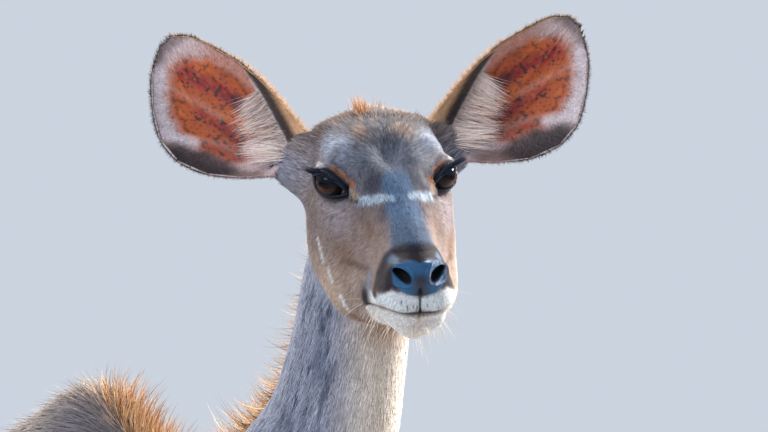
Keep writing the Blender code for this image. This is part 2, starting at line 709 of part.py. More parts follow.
def cut_out(obj, name, cuts, near):
    """Copies the solid, keeps the wanted side of each cut and then the piece nearest a place."""
    part = obj
    for place, normal in cuts:
        cut = half(part, place, normal, name)
        if part is not obj:
            remove(part)
        part = cut
    centres = points_of(part)
    best = None
    for group in islands(part):
        if len(group) < 12:
            continue
        used = np.unique([v for f in group for v in part.data.polygons[f].vertices])
        away = np.linalg.norm(centres[used] - np.array(near), axis=1).min()
        if best is None or away < best[0] - 0.02:
            best = (away, group)
    keep(part, best[1])
    return without_slivers(part)


def without_slivers(part):
    """Triangles only, with the shortest edges closed up as far as the surface stays whole."""
    for shortest in (0.00005, 0.00002, 0.000005, 0.0):
        work = bmesh.new()
        work.from_mesh(part.data)
        bmesh.ops.triangulate(work, faces=work.faces)
        bmesh.ops.dissolve_degenerate(work, edges=work.edges, dist=shortest)
        bmesh.ops.triangulate(work, faces=work.faces)
        whole = all(edge.is_manifold for edge in work.edges)
        if whole:
            work.to_mesh(part.data)
        work.free()
        if whole:
            break
    return part


# Longer hair: the crest from the crown over the withers to the croup, the tail and the ears' fringe
POLL_CREST = {"from": 0.052, "to": 0.112, "locks": 4, "length": 0.015}
NECK_CREST = {"from": 6.3, "to": 1.5, "locks": 25, "length": (0.044, 0.066, 0.074, 0.058)}
WITHERS_CREST = {"from": -0.500, "to": -0.215, "locks": 12, "length": (0.046, 0.058, 0.058, 0.052)}
BACK_CREST = {"from": -0.185, "to": 0.440, "locks": 16, "length": (0.050, 0.048, 0.046, 0.040)}
LOCK_WIDTH = 0.034
LOCK_THICKNESS = 0.008
FRINGE_LOCKS = 6
TAIL_LOCKS = 12
RANDOM = np.random.default_rng(11)


def lock(root, along, flat, length, width, thickness, curl, sunk=0.012, root_width=1.0):
    """A flat lock, sunk in by its root, that tapers to a bent tip: one closed surface."""
    along, flat = unit(np.array(along, float)), np.array(flat, float)
    flat = unit(flat - along * flat.dot(along))
    thin = np.cross(along, flat)
    root = np.array(root, float) - along * sunk
    whole = length + sunk
    rings = []
    for share in (0.0, 0.36, 0.72):
        middle = root + along * whole * share + np.array(curl) * share**2
        opening = root_width + (1 - root_width) * min(1.0, share / 0.36)
        half_width = 0.5 * width * (1 - share**2.2) * opening
        half_thick = 0.5 * thickness * (1 - share**1.5)
        rings.append([middle + flat * half_width, middle + thin * half_thick])
        rings[-1] += [middle - flat * half_width, middle - thin * half_thick]
    points = [q for ring in rings for q in ring] + [root + along * whole + np.array(curl)]
    faces = [(0, 3, 2), (0, 2, 1)]
    for k in range(len(rings) - 1):
        for j in range(4):
            a, b = 4 * k + j, 4 * k + (j + 1) % 4
            faces += [(a, b, b + 4), (a, b + 4, a + 4)]
    last = 4 * (len(rings) - 1)
    faces += [(last + j, last + (j + 1) % 4, len(points) - 1) for j in range(4)]
    return facing_out(make_object("lock", points, faces))


def vary(size, share=0.14):
    return size * (1 + share * RANDOM.uniform(-1, 1))


def surface_from_outside(tree, middle, way):
    """Where a ray from well outside comes back in towards the middle."""
    way = Vector(way).normalized()
    return tree.ray_cast(Vector(middle) + way * 0.6, -way)[0]


def crest_lock(root, way, back, side, rise, length, width):
    """A lock of the crest: it rises from the skin and lies back, with its flat side to the side."""
    lateral = np.cross(back, way)
    along = way * rise + back * math.sqrt(1 - rise**2) + lateral * 0.10 * side
    curl = way * -0.10 * length
    return lock(root, along, way, vary(length), vary(width), LOCK_THICKNESS, curl)


def crest_locks(body):
    """Locks down the nape and along the back, alternately left and right of the middle line."""
    tree = BVHTree.FromPolygons([v.co for v in body.data.vertices], [p.vertices for p in body.data.polygons])
    made = []
    turned = np.array(HEAD_POSE)[:3, :3]
    for k, y in enumerate(np.linspace(POLL_CREST["from"], POLL_CREST["to"], POLL_CREST["locks"])):
        side = 1 if k % 2 else -1
        root = surface_from_outside(tree, from_head([[0.006 * side, y, -0.02]])[0], turned[:, 2])
        along = turned @ (0.15 * side, 0.85, 0.48)
        made.append(lock(root, along, turned[:, 0], POLL_CREST["length"], LOCK_WIDTH, LOCK_THICKNESS, along * 0))
    t = np.linspace(NECK_CREST["from"], NECK_CREST["to"], NECK_CREST["locks"])
    middle = spline(np.array(NECK_ROWS)[:, :3], t)
    path = unit(spline(np.array(NECK_ROWS)[:, :3], t + 0.05) - middle)
    turn = np.radians(spline(np.array(NECK_TURN)[:, None], t)[:, 0])
    lateral = np.stack([np.cos(turn), np.sin(turn), 0 * turn], 1)
    lateral = unit(lateral - path * (lateral * path).sum(1, keepdims=True))
    dorsal = np.cross(path, lateral)
    reach = np.interp(np.linspace(0, 3, len(t)), range(4), NECK_CREST["length"])
    for k in range(len(t)):
        side = 1 if k % 2 else -1
        way = unit(dorsal[k] + lateral[k] * 0.07 * side)
        root = surface_from_outside(tree, middle[k], way)
        made.append(crest_lock(root, way, -path[k], side, 0.58, reach[k], LOCK_WIDTH))
    for crest, rise in ((WITHERS_CREST, 0.28), (BACK_CREST, 0.18)):
        places = np.linspace(crest["from"], crest["to"], crest["locks"])
        reach = np.interp(np.linspace(0, 3, len(places)), range(4), crest["length"])
        for k, y in enumerate(places):
            side = 1 if k % 2 else -1
            root = surface_from_outside(tree, (0.005 * side, y, 0.95), (0, 0, 1))
            skin = [surface_from_outside(tree, (0, y + step, 0.95), (0, 0, 1)) for step in (-0.02, 0.02)]
            back = unit(np.array(skin[1] - skin[0]))
            way = np.cross((1, 0, 0), back)
            made.append(crest_lock(root, way, back, side, rise, reach[k], LOCK_WIDTH))
    return made


def tail_locks():
    """Locks that hang down round the lower tail, the last of them past its end."""
    made = []
    for k in range(TAIL_LOCKS):
        t = 3.2 + 4.4 * k / (TAIL_LOCKS - 1)
        row = spline(TAIL_ROWS, np.array([t]))[0]
        down = unit(spline(np.array(TAIL_ROWS)[:, :3], np.array([t + 0.05]))[0] - row[:3])
        a = 2.4 * k
        out = np.array([math.cos(a), 0.75 * math.sin(a) + 0.15, 0.0])
        root = row[:3] + out * row[3] * 0.70
        flat = np.cross(down, out)
        made.append(lock(root, down + out * 0.20, flat, vary(0.072), 0.026, 0.008, -out * 0.008))
    return made


def fringe_locks(side):
    """Pale hair rooted inside the ear's upper margin, sweeping out over its opening."""
    made = []
    inner, _ = ear_points(61, 41)
    normal = np.cross(np.gradient(inner, axis=0), np.gradient(inner, axis=1))
    normal = unit(normal * np.sign(normal[..., 2:]))
    turn = np.array(ear_frame(side))[:3, :3]
    for k in range(FRINGE_LOCKS):
        row, column = 5 + 4 * k, 4
        root = moved([inner[row, column]], ear_frame(side))[0]
        swing = math.radians(52 + 9 * k)
        along = turn @ unit(np.array((math.cos(swing), -math.sin(swing), 0.34)))
        flat = np.cross(along, turn @ normal[row, column])
        curl = turn @ (0.004, 0.0, -0.012)
        length = vary(0.046)
        made.append(lock(root, along, flat, length, 0.026, 0.004, curl, sunk=0.0025, root_width=0.3))
    return made


# Where the body is parted into nodes: a place on each cut and the way it faces
BACKWARD = Vector((math.sin(-HEAD_TURN), math.cos(HEAD_TURN), 0))
HEAD_CUT = (HEAD_PLACE + 0.10 * BACKWARD - Vector((0, 0, 0.092)), Vector((0, 0, 0.80)) - 0.60 * BACKWARD)
NECK_CUT = (Vector((0, -0.55, 1.12)), Vector((0, -0.85, 0.53)))
TAIL_CUT = (Vector((0, TAIL_PLANE, 1.0)), Vector((0, 1, 0)))
NECK_MIDDLE = (Vector((0, -0.735, 1.290)), Vector((0, -0.44, 0.90)))
LEG_TOPS = {
    "front": (Vector((0, -0.23, 0.660)), Vector((0, 0.20, 1))),
    "hind": (Vector((0, 0.19, 0.680)), Vector((0, -0.42, 1))),
}
LEG_CUTS = {"front": (0.420, 0.128), "hind": (0.455, 0.130)}


def other_way(cut):
    return cut[0], -cut[1]


def level(z):
    return Vector((0, 0, z)), Vector((0, 0, 1))


def claw(name, x, y, outward):
    """Half of a cloven hoof: flat sole, upright inner wall, toe to the front."""
    sections = [
        (0.000, -0.056, 0.026, 0.0350),
        (0.004, -0.056, 0.028, 0.0355),
        (0.024, -0.045, 0.029, 0.0335),
        (0.040, -0.036, 0.028, 0.0310),
        (HOOF_TOP - GAP, -0.031, 0.026, 0.0295),
    ]
    a = np.linspace(0, 2 * math.pi, 18, endpoint=False)
    rings = []
    for z, toe, heel, outer in sections:
        inner = 0.0015
        across = np.sign(np.cos(a)) * np.abs(np.cos(a)) ** 0.75
        run = np.sign(np.sin(a)) * np.abs(np.sin(a)) ** 0.85
        middle, half_width = (inner + outer) / 2, (outer - inner) / 2
        narrow = 1.0 - 0.35 * np.clip(-run, 0, 1) ** 2
        side = middle + half_width * (across * narrow) - 0.5 * half_width * (1 - narrow)
        length = (toe + heel) / 2 + (heel - toe) / 2 * run
        rings.append(np.stack([x + outward * side, y + length, 0 * a + z], -1))
    return facing_out(make_object(name, *shell(np.stack(rings))))


MATERIALS = {
    "hide": ((0.36, 0.30, 0.26), 0.85),
    "pale hide": ((0.46, 0.36, 0.28), 0.85),
    "ear skin": ((0.42, 0.24, 0.18), 0.8),
    "eye": ((0.02, 0.012, 0.01), 0.08),
    "horn": ((0.06, 0.055, 0.05), 0.45),
    "brush": ((0.30, 0.22, 0.16), 0.9),
}


def finish(obj, look):
    """Gives a node its own material and puts its origin at its middle."""
    colour, rough = MATERIALS[look]
    material = bpy.data.materials.new(obj.name + " " + look)
    material.use_nodes = True
    shader = material.node_tree.nodes["Principled BSDF"]
    shader.inputs["Base Color"].default_value = (*colour, 1.0)
    shader.inputs["Roughness"].default_value = rough
    obj.data.materials.clear()
    obj.data.materials.append(material)
    points = points_of(obj)
    middle = (points.min(0) + points.max(0)) / 2
    set_points(obj, points - middle)
    obj.location = Vector(middle) + ORIGIN_SHIFT
    return obj


for old in list(bpy.data.objects):
    remove(old)
body = fused_body()
thin_out(body, BODY_TRIANGLES)
boolean(body, crest_locks(body) + tail_locks(), "UNION")
lids = [ball("lids", EYE_RADIUS + LID_THICKNESS, eye_frame(side)) for side in EAR_AIMS]
boolean(body, lids, "UNION")
boolean(body, [cutter for side in EAR_AIMS for cutter in eye_cutters(side)], "DIFFERENCE")

nodes = {}
nodes["head"] = cut_out(body, "head", [HEAD_CUT], from_head([0, -0.2, 0]))
nodes["neck_upper"] = cut_out(body, "neck_upper", [other_way(HEAD_CUT), NECK_MIDDLE], (0, -0.79, 1.42))
nodes["neck_lower"] = cut_out(body, "neck_lower", [other_way(NECK_MIDDLE), NECK_CUT], (0, -0.65, 1.18))
torso_cuts = [other_way(NECK_CUT), other_way(TAIL_CUT), LEG_TOPS["front"], LEG_TOPS["hind"]]
nodes["torso"] = cut_out(body, "torso", torso_cuts, (0, 0, 1.2))
nodes["tail"] = cut_out(body, "tail", [TAIL_CUT], (0, 0.72, 0.9))
for leg, lean in STANCE.items():
    kind, hand = leg.split("_")
    side = 1 if hand == "left" else -1
    joint, fetlock = LEG_CUTS[kind]
    ends = [LEG_TOPS[kind], level(joint), level(fetlock), level(HOOF_TOP)]
    y = -0.41 if kind == "front" else 0.54
    for k, part in enumerate(("upper", "lower", "foot")):
        name = leg + "_" + part
        cuts = [other_way(ends[k]), ends[k + 1]]
        z = (ends[k][0].z + ends[k + 1][0].z) / 2
        nodes[name] = cut_out(body, name, cuts, (0.105 * side, y + lean * (1 - z / LEAN_FROM), z))
    last = (FRONT_LEG_ROWS if kind == "front" else HIND_LEG_ROWS)[-1]
    foot_y = last[1] + lean * (1 - last[2] / LEAN_FROM)
    for word, way in (("inner", -side), ("outer", side)):
        name = leg + "_hoof_" + word
        nodes[name] = claw(name, side * last[0], foot_y, way)
remove(body)
for side in EAR_AIMS:
    whole = ear_shell(side)
    boolean(whole, fringe_locks(side), "UNION")
    frame = ear_frame(side)
    place, along = frame.translation, frame.to_3x3().col[0]
    nodes["ear_" + side] = cut_out(whole, "ear_" + side, [(place, along)], frame @ Vector((0.1, 0, -0.03)))
    remove(whole)
    base = half(nodes["head"], place, -along, "head")
    remove(nodes["head"])
    nodes["head"] = base
    nodes["eye_" + side] = ball("eye_" + side, EYE_RADIUS, eye_frame(side))

for name, node in nodes.items():
    node.name = name
    look = "hide"
    if "hoof" in name:
        look = "horn"
    elif name.startswith("eye"):
        look = "eye"
    elif name.startswith("ear"):
        look = "ear skin"
    elif name == "tail":
        look = "brush"
    elif name.endswith("foot") or (name.endswith("lower") and not name.startswith("neck")):
        look = "pale hide"
    finish(facing_out(node), look)
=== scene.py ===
# %% [markdown]
# # A greater kudu cow at life size
# A museum model is judged by its surface: where the flesh swells, how the coat lies and what
# colour each hair has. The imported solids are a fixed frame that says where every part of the
# animal is. This script dresses them with one skin, then grows a coat of small solid tufts on
# it, and gives the eyes, ears, nose and hooves their own finish.

# %% Load the frame
import itertools
import math

import bmesh
import bpy
import numpy as np
from mathutils import Matrix, Vector


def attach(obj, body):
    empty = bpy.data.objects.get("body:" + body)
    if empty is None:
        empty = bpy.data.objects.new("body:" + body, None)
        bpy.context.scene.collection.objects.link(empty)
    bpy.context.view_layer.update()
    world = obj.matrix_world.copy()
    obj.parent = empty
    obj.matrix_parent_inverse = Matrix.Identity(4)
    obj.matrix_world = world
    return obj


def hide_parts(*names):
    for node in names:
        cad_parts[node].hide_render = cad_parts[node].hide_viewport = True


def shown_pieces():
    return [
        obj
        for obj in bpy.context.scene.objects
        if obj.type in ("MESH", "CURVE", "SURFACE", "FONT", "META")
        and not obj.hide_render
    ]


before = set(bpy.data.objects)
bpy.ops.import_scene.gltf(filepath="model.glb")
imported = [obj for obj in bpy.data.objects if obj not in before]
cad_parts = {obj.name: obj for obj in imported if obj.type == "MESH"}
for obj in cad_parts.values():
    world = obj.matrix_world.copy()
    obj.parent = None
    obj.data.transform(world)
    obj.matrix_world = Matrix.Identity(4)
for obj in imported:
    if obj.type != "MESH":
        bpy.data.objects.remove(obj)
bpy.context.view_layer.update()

# %% [markdown]
# ## Small tools for surfaces
# A surface here is an array of points. A few helpers are enough: a smooth curve through the
# rows of a table, a soft step from 0 to 1, a bell, a mix of two values, and a smooth random
# field that any number of pieces can share, so that skin and hair agree in colour.

# %% Curves, steps and noise
def spline(table, t):
    """Catmull-Rom curve through the rows of a table: row i is reached at t = i."""
    table = np.asarray(table, float)
    ends = np.vstack([2 * table[0] - table[1], table, 2 * table[-1] - table[-2]])
    t = np.asarray(t, float)
    i = np.clip(t.astype(int), 0, len(table) - 2)
    f = (t - i)[:, None]
    a, b, c, d = ends[i], ends[i + 1], ends[i + 2], ends[i + 3]
    return 0.5 * (2 * b + (c - a) * f + (2 * a - 5 * b + 4 * c - d) * f**2 + (3 * b - a - 3 * c + d) * f**3)


def unit(v):
    """Each row divided by its own length."""
    return v / np.maximum(np.linalg.norm(v, axis=-1, keepdims=True), 1e-12)


def ramp(low, high, x):
    """0 below low, 1 above high, and 3t^2 - 2t^3 between them."""
    t = np.clip((x - low) / (high - low), 0.0, 1.0)
    return t * t * (3.0 - 2.0 * t)


def bell(x, width):
    """exp(-(x / width)^2): 1 in the middle and almost nothing past twice the width."""
    return np.exp(-((x / width) ** 2))


def mix(a, b, t):
    """a where t is 0 and b where t is 1. Colours are rows, so t gets a second axis for them."""
    t = np.asarray(t, float)
    if np.ndim(a) == 2 or np.ndim(b) == 2 or np.shape(b) == (3,):
        t = t[..., None]
    return a * (1 - t) + b * t


def grain(points, size, seed=0):
    """Smooth random field from -1 to 1: hashed values on a grid of that size, blended by cubes."""
    q = np.asarray(points, float) / size + 100.0
    cell = np.floor(q)
    f = q - cell
    f = f * f * (3 - 2 * f)
    total = np.zeros(len(q))
    for corner in itertools.product((0, 1), repeat=3):
        h = np.sin((cell + corner) @ np.array([127.1, 311.7, 74.7]) + seed * 17.3) * 43758.5453
        weight = np.prod(np.where(corner, f, 1 - f), axis=1)
        total += weight * (h - np.floor(h))
    return 2 * total - 1


def moved(points, matrix):
    """Points carried by a 4x4 matrix."""
    m = np.array(matrix)
    return np.asarray(points, float) @ m[:3, :3].T + m[:3, 3]


def axes_of(matrix):
    """The turning part of a 4x4 matrix, whose columns are its axes."""
    return np.array(matrix)[:3, :3]


# %% [markdown]
# ## From arrays to meshes
# Blender takes a mesh fastest as whole arrays. Every piece is worked out in the animal's own
# coordinates, where the head faces -Y and the feet are at z = 0, and one shift puts it over
# the middle of the frame's box. The piece's object stays at the origin.

# %% Mesh helpers
ORIGIN_SHIFT = np.array([0.0075, 0.1725, 0.0])


def numbers(values, kind=np.float32):
    """One flat array, as foreach_set wants it."""
    return np.ascontiguousarray(values, kind).ravel()


def build_mesh(name, points, faces, smooth=True):
    """An object whose mesh has these points and faces, all faces having as many corners."""
    mesh = bpy.data.meshes.new(name)
    mesh.vertices.add(len(points))
    mesh.vertices.foreach_set("co", numbers(points))
    mesh.loops.add(faces.size)
    mesh.loops.foreach_set("vertex_index", numbers(faces, np.int32))
    mesh.polygons.add(len(faces))
    mesh.polygons.foreach_set("loop_start", np.arange(0, faces.size, faces.shape[1], dtype=np.int32))
    mesh.update(calc_edges=True)
    mesh.polygons.foreach_set("use_smooth", np.full(len(faces), smooth))
    obj = bpy.data.objects.new(name, mesh)
    bpy.context.scene.collection.objects.link(obj)
    return obj


def set_colours(obj, colours):
    """Stores one colour for each point, as the attribute that the coat materials read."""
    layer = obj.data.color_attributes.new("coat", "FLOAT_COLOR", "POINT")
    layer.data.foreach_set("color", numbers(np.column_stack([colours, np.ones(len(colours))])))


def set_values(obj, name, values):
    """Stores one number for each point under that name."""
    layer = obj.data.attributes.new(name, "FLOAT", "POINT")
    layer.data.foreach_set("value", numbers(values))


def rows_of(items, name):
    """The vector that each item keeps under that name, as rows."""
    flat = np.empty(len(items) * 3, np.float32)
    items.foreach_get(name, flat)
    return flat.reshape(-1, 3).astype(float)


def points_of(obj):
    """The mesh's points as rows of x, y, z."""
    return rows_of(obj.data.vertices, "co")


def normals_of(obj):
    """The direction each point faces, as unit rows."""
    return rows_of(obj.data.vertex_normals, "vector")


def set_points(obj, points):
    """Moves every point of the mesh to its new place."""
    obj.data.vertices.foreach_set("co", numbers(points))
    obj.data.update()


def grid_faces(rings, around, closed=True):
    """Quads of a grid of points whose rings are closed, or open where closed is false."""
    i = np.arange(rings - 1)[:, None] * around
    j = np.arange(around if closed else around - 1)
    k = (j + 1) % around
    return np.stack([i + j, i + k, i + around + k, i + around + j], -1).reshape(-1, 4)


def triangles_of(obj):
    """The mesh's triangles as rows of three point numbers."""
    obj.data.calc_loop_triangles()
    flat = np.empty(len(obj.data.loop_triangles) * 3, np.int32)
    obj.data.loop_triangles.foreach_get("vertices", flat)
    return flat.reshape(-1, 3)


def applied(obj):
    """Puts what the modifiers make in place of the mesh."""
    graph = bpy.context.evaluated_depsgraph_get()
    mesh = bpy.data.meshes.new_from_object(obj.evaluated_get(graph))
    obj.modifiers.clear()
    obj.data = mesh
    return obj


def placed(piece, slot, *nodes):
    """Shifts a finished piece over the frame, makes it ride on the body and hides the solids it stands for;
    slot is not used.
    """
    set_points(piece, points_of(piece) + ORIGIN_SHIFT)
    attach(piece, "root")
    if nodes:
        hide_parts(*nodes)
    print(piece.name, len(triangles_of(piece)), "triangles")
    return piece


# %% [markdown]
# ## The driving sizes and the pose
# A cow stands about 1.30 m at the withers. Her head is carried 1.56 m up and turned to her
# right, towards the camera. These few values place everything that follows: the head has a
# frame of its own, in which x is her left, y runs back from the nose and z is up.

# %% Sizes and pose
WITHERS_HEIGHT = 1.3
EAR_LENGTH = 0.208
EYE_RADIUS = 0.0215
HOOF_TOP = 0.052
HEAD_PLACE = Vector((-0.09, -0.9, 1.558))
HEAD_TURN, HEAD_NOD, HEAD_ROLL = math.radians(-33.4), math.radians(23.4), math.radians(-3.6)
HEAD_POSE = (
    Matrix.Translation(HEAD_PLACE)
    @ Matrix.Rotation(HEAD_TURN, 4, "Z")
    @ Matrix.Rotation(HEAD_NOD, 4, "X")
    @ Matrix.Rotation(HEAD_ROLL, 4, "Y")
)
HEAD_AXES = axes_of(HEAD_POSE)


def to_head(points):
    """The animal's coordinates to the head's own."""
    return moved(points, HEAD_POSE.inverted())


def from_head(points):
    """The head's own coordinates to the animal's."""
    return moved(points, HEAD_POSE)


# %% [markdown]
# ## The body as lofts
# A barrel, a neck or a leg is a ring of points carried along a path. Each table row is one
# ring: its place and how far it reaches to the side, the back and the front. The trunk's rows
# say where the back, the belly and the widest point are, which is how one would measure a
# standing animal.

# %% Tables of the body
TRUNK_SECTIONS = [
    (-0.605, 1.030, 0.890, 0.045, 0.960),
    (-0.565, 1.110, 0.805, 0.088, 0.945),
    (-0.490, 1.190, 0.735, 0.120, 0.930),
    (-0.420, 1.238, 0.705, 0.138, 0.915),
    (-0.330, WITHERS_HEIGHT, 0.690, 0.150, 0.905),
    (-0.230, 1.258, 0.685, 0.162, 0.900),
    (-0.110, 1.214, 0.675, 0.180, 0.890),
    (0.040, 1.190, 0.670, 0.198, 0.885),
    (0.190, 1.186, 0.695, 0.197, 0.905),
    (0.320, 1.197, 0.745, 0.176, 0.950),
    (0.440, 1.192, 0.800, 0.165, 0.985),
    (0.540, 1.160, 0.850, 0.143, 1.000),
    (0.605, 1.115, 0.900, 0.105, 1.010),
    (0.640, 1.065, 0.950, 0.060, 1.010),
]
NECK_ROWS = [
    (0.000, -0.400, 1.000, 0.108, 0.165, 0.210),
    (0.000, -0.510, 1.070, 0.100, 0.120, 0.168),
    (-0.003, -0.628, 1.160, 0.084, 0.097, 0.126),
    (-0.010, -0.722, 1.255, 0.073, 0.084, 0.099),
    (-0.020, -0.768, 1.350, 0.066, 0.079, 0.083),
    (-0.026, -0.792, 1.440, 0.062, 0.076, 0.078),
    (-0.032, -0.808, 1.505, 0.055, 0.066, 0.066),
    (-0.036, -0.820, 1.545, 0.035, 0.045, 0.045),
]
NECK_TURN = (0.0, 0.0, -3.0, -8.0, -15.0, -23.0, -29.0, -32.0)
FRONT_LEG_ROWS = [
    (0.080, -0.430, 1.030, 0.050, 0.085, 0.080),
    (0.100, -0.430, 0.920, 0.056, 0.100, 0.090),
    (0.114, -0.415, 0.820, 0.050, 0.085, 0.066),
    (0.115, -0.405, 0.730, 0.041, 0.060, 0.047),
    (0.110, -0.408, 0.630, 0.032, 0.042, 0.036),
    (0.106, -0.412, 0.540, 0.026, 0.031, 0.029),
    (0.104, -0.415, 0.475, 0.026, 0.028, 0.028),
    (0.103, -0.418, 0.428, 0.030, 0.030, 0.031),
    (0.102, -0.415, 0.385, 0.025, 0.029, 0.024),
    (0.101, -0.412, 0.340, 0.0195, 0.024, 0.019),
    (0.100, -0.410, 0.260, 0.018, 0.023, 0.018),
    (0.100, -0.408, 0.190, 0.020, 0.025, 0.019),
    (0.100, -0.405, 0.148, 0.026, 0.030, 0.024),
    (0.100, -0.417, 0.108, 0.024, 0.023, 0.023),
    (0.100, -0.432, 0.075, 0.0285, 0.029, 0.027),
    (0.100, -0.437, 0.050, 0.029, 0.030, 0.028),
]
HIND_LEG_ROWS = [
    (0.080, 0.430, 1.060, 0.065, 0.160, 0.130),
    (0.108, 0.430, 0.940, 0.070, 0.178, 0.150),
    (0.122, 0.420, 0.830, 0.062, 0.155, 0.140),
    (0.126, 0.425, 0.740, 0.052, 0.112, 0.112),
    (0.122, 0.452, 0.655, 0.042, 0.075, 0.078),
    (0.115, 0.492, 0.580, 0.033, 0.060, 0.050),
    (0.110, 0.535, 0.515, 0.028, 0.058, 0.038),
    (0.108, 0.555, 0.465, 0.030, 0.044, 0.038),
    (0.107, 0.556, 0.425, 0.026, 0.035, 0.031),
    (0.106, 0.552, 0.380, 0.021, 0.030, 0.024),
    (0.105, 0.545, 0.290, 0.0185, 0.026, 0.020),
    (0.105, 0.540, 0.200, 0.0205, 0.027, 0.020),
    (0.105, 0.537, 0.152, 0.0265, 0.031, 0.025),
    (0.105, 0.523, 0.110, 0.0245, 0.024, 0.024),
    (0.105, 0.507, 0.075, 0.0285, 0.029, 0.027),
    (0.105, 0.502, 0.050, 0.029, 0.030, 0.028),
]
TAIL_ROWS = [
    (0.000, 0.580, 1.078, 0.028, 0.028, 0.028),
    (0.000, 0.632, 1.086, 0.027, 0.025, 0.025),
    (0.000, 0.672, 1.076, 0.024, 0.021, 0.021),
    (0.000, 0.696, 1.038, 0.021, 0.018, 0.018),
    (0.000, 0.706, 0.980, 0.019, 0.016, 0.016),
    (0.000, 0.706, 0.910, 0.018, 0.015, 0.015),
    (0.000, 0.702, 0.840, 0.017, 0.014, 0.014),
    (0.000, 0.697, 0.780, 0.013, 0.011, 0.011),
    (0.000, 0.694, 0.745, 0.005, 0.005, 0.005),
]
STANCE = {"front_left": -0.03, "front_right": 0.02, "hind_left": 0.045, "hind_right": -0.05}
LEAN_FROM = 0.9
SIDES = {"left": 1, "right": -1}

# %% Loft functions
def tube(rows, rings, around, along=None, turn=None, square=2.0):
    """Rings of a superellipse along a path: centre + lateral * side * cos + dorsal * reach * sin."""
    t = np.linspace(0, len(rows) - 1, rings)
    s = spline(rows, t)
    centre, side, back, front = s[:, :3], s[:, 3], s[:, 4], s[:, 5]
    path = np.gradient(centre, axis=0) if along is None else np.tile(along, (rings, 1))
    path = unit(path)
    angle = np.zeros(rings) if turn is None else np.radians(spline(np.array(turn)[:, None], t)[:, 0])
    lateral = np.stack([np.cos(angle), np.sin(angle), 0 * angle], 1)
    lateral = unit(lateral - path * (lateral * path).sum(1, keepdims=True))
    dorsal = np.cross(path, lateral)
    a = np.linspace(0, 2 * math.pi, around, endpoint=False)
    across = np.sign(np.cos(a)) * np.abs(np.cos(a)) ** (2 / square)
    up = np.sign(np.sin(a)) * np.abs(np.sin(a)) ** (2 / square)
    reach = np.where(up > 0, back[:, None], front[:, None])
    return (
        centre[:, None]
        + lateral[:, None] * (side[:, None] * across)[..., None]
        + dorsal[:, None] * (reach * up)[..., None]
    )


def trunk_grid(rings, around):
    """The trunk's table as a loft: each row's heights turned into reaches from its widest line."""
    rows = [
        (0.0, y, widest, half, top - widest, widest - belly)
        for y, top, belly, half, widest in TRUNK_SECTIONS
    ]
    return tube(rows, rings, around, along=(0, -1, 0), square=2.15)


def leg_grid(rows, side, lean, rings, around):
    """A leg that leans forward or back below the elbow or stifle, as the stance asks."""
    grid = tube(rows, rings, around, along=(0, 0, 1), square=2.1)
    grid[..., 1] += lean * np.clip(1.0 - grid[..., 2] / LEAN_FROM, 0, None)
    grid[..., 0] *= side
    return grid


def leg_of(leg):
    """A leg's table of rings, its side as 1 or -1, and how far it leans."""
    rows = FRONT_LEG_ROWS if leg.startswith("front") else HIND_LEG_ROWS
    return rows, SIDES[leg.split("_")[1]], STANCE[leg]


# %% [markdown]
# ## The head as a net of lines
# A head isn't a stack of ellipses. It is drawn as an artist would: lines run along it for the
# crest of the face, the brow, the cheek, the jaw and the chin, and rings run round it through
# all of them. The muscle that carries each ear is a short tube of its own.

# %% The head, ear roots and the ears' own frames
HEAD_LINES = {
    "along": (0.135, 0.105, 0.060, 0.020, -0.020, -0.060, -0.100, -0.145, -0.180, -0.207, -0.221),
    "crest": (0.020, 0.044, 0.054, 0.053, 0.047, 0.036, 0.026, 0.018, 0.014, 0.003, -0.018),
    "brow_out": (0.028, 0.046, 0.056, 0.059, 0.052, 0.037, 0.027, 0.022, 0.022, 0.021, 0.014),
    "brow_up": (0.004, 0.026, 0.038, 0.038, 0.029, 0.019, 0.012, 0.006, -0.001, -0.010, -0.024),
    "cheek_out": (0.040, 0.062, 0.074, 0.079, 0.074, 0.063, 0.053, 0.046, 0.043, 0.037, 0.024),
    "cheek_up": (-0.040, -0.034, -0.028, -0.022, -0.026, -0.036, -0.042, -0.046, -0.048, -0.047, -0.047),
    "jaw_out": (0.024, 0.052, 0.070, 0.074, 0.072, 0.067, 0.057, 0.042, 0.034, 0.028, 0.018),
    "jaw_up": (-0.070, -0.108, -0.121, -0.124, -0.121, -0.114, -0.104, -0.093, -0.091, -0.088, -0.074),
    "chin": (-0.075, -0.120, -0.143, -0.148, -0.145, -0.136, -0.123, -0.109, -0.106, -0.100, -0.081),
}
EAR_PLACE = Vector((0.094, 0.085, -0.004))
EAR_AIMS = {
    "left": (Vector((0.745, 0.24, 0.62)), Vector((-0.06, -0.89, 0.45))),
    "right": (Vector((-0.56, 0.7, 0.44)), Vector((-0.39, -0.64, 0.665))),
}
EYE_PLACE = Vector((0.0592, -0.003, 0.0045))
EYE_AIM = Vector((0.7, -0.7, 0.1)).normalized()
EYE_SLANT = math.radians(14.0)


def head_grid(rings, around):
    """A spline net: eight lines run along the head, and rings run round it through them."""
    h = {k: np.array(v) for k, v in HEAD_LINES.items()}
    zero = 0 * h["along"]
    half = [("brow_out", "brow_up"), ("cheek_out", "cheek_up"), ("jaw_out", "jaw_up")]
    left = [np.stack([h[x], h["along"], h[z]], 1) for x, z in half]
    right = [line * (-1, 1, 1) for line in left[::-1]]
    crest = np.stack([zero, h["along"], h["crest"]], 1)
    chin = np.stack([zero, h["along"], h["chin"]], 1)
    net = np.stack([crest, *left, chin, *right], 1)
    t = np.linspace(0, len(net) - 1, rings)
    lines = np.stack([spline(net[:, k], t) for k in range(net.shape[1])], 1)
    looped = np.concatenate([lines[:, -1:], lines, lines[:, :2]], 1)
    a = 1 + np.linspace(0, net.shape[1], around, endpoint=False)
    return np.stack([spline(ring, a) for ring in looped])


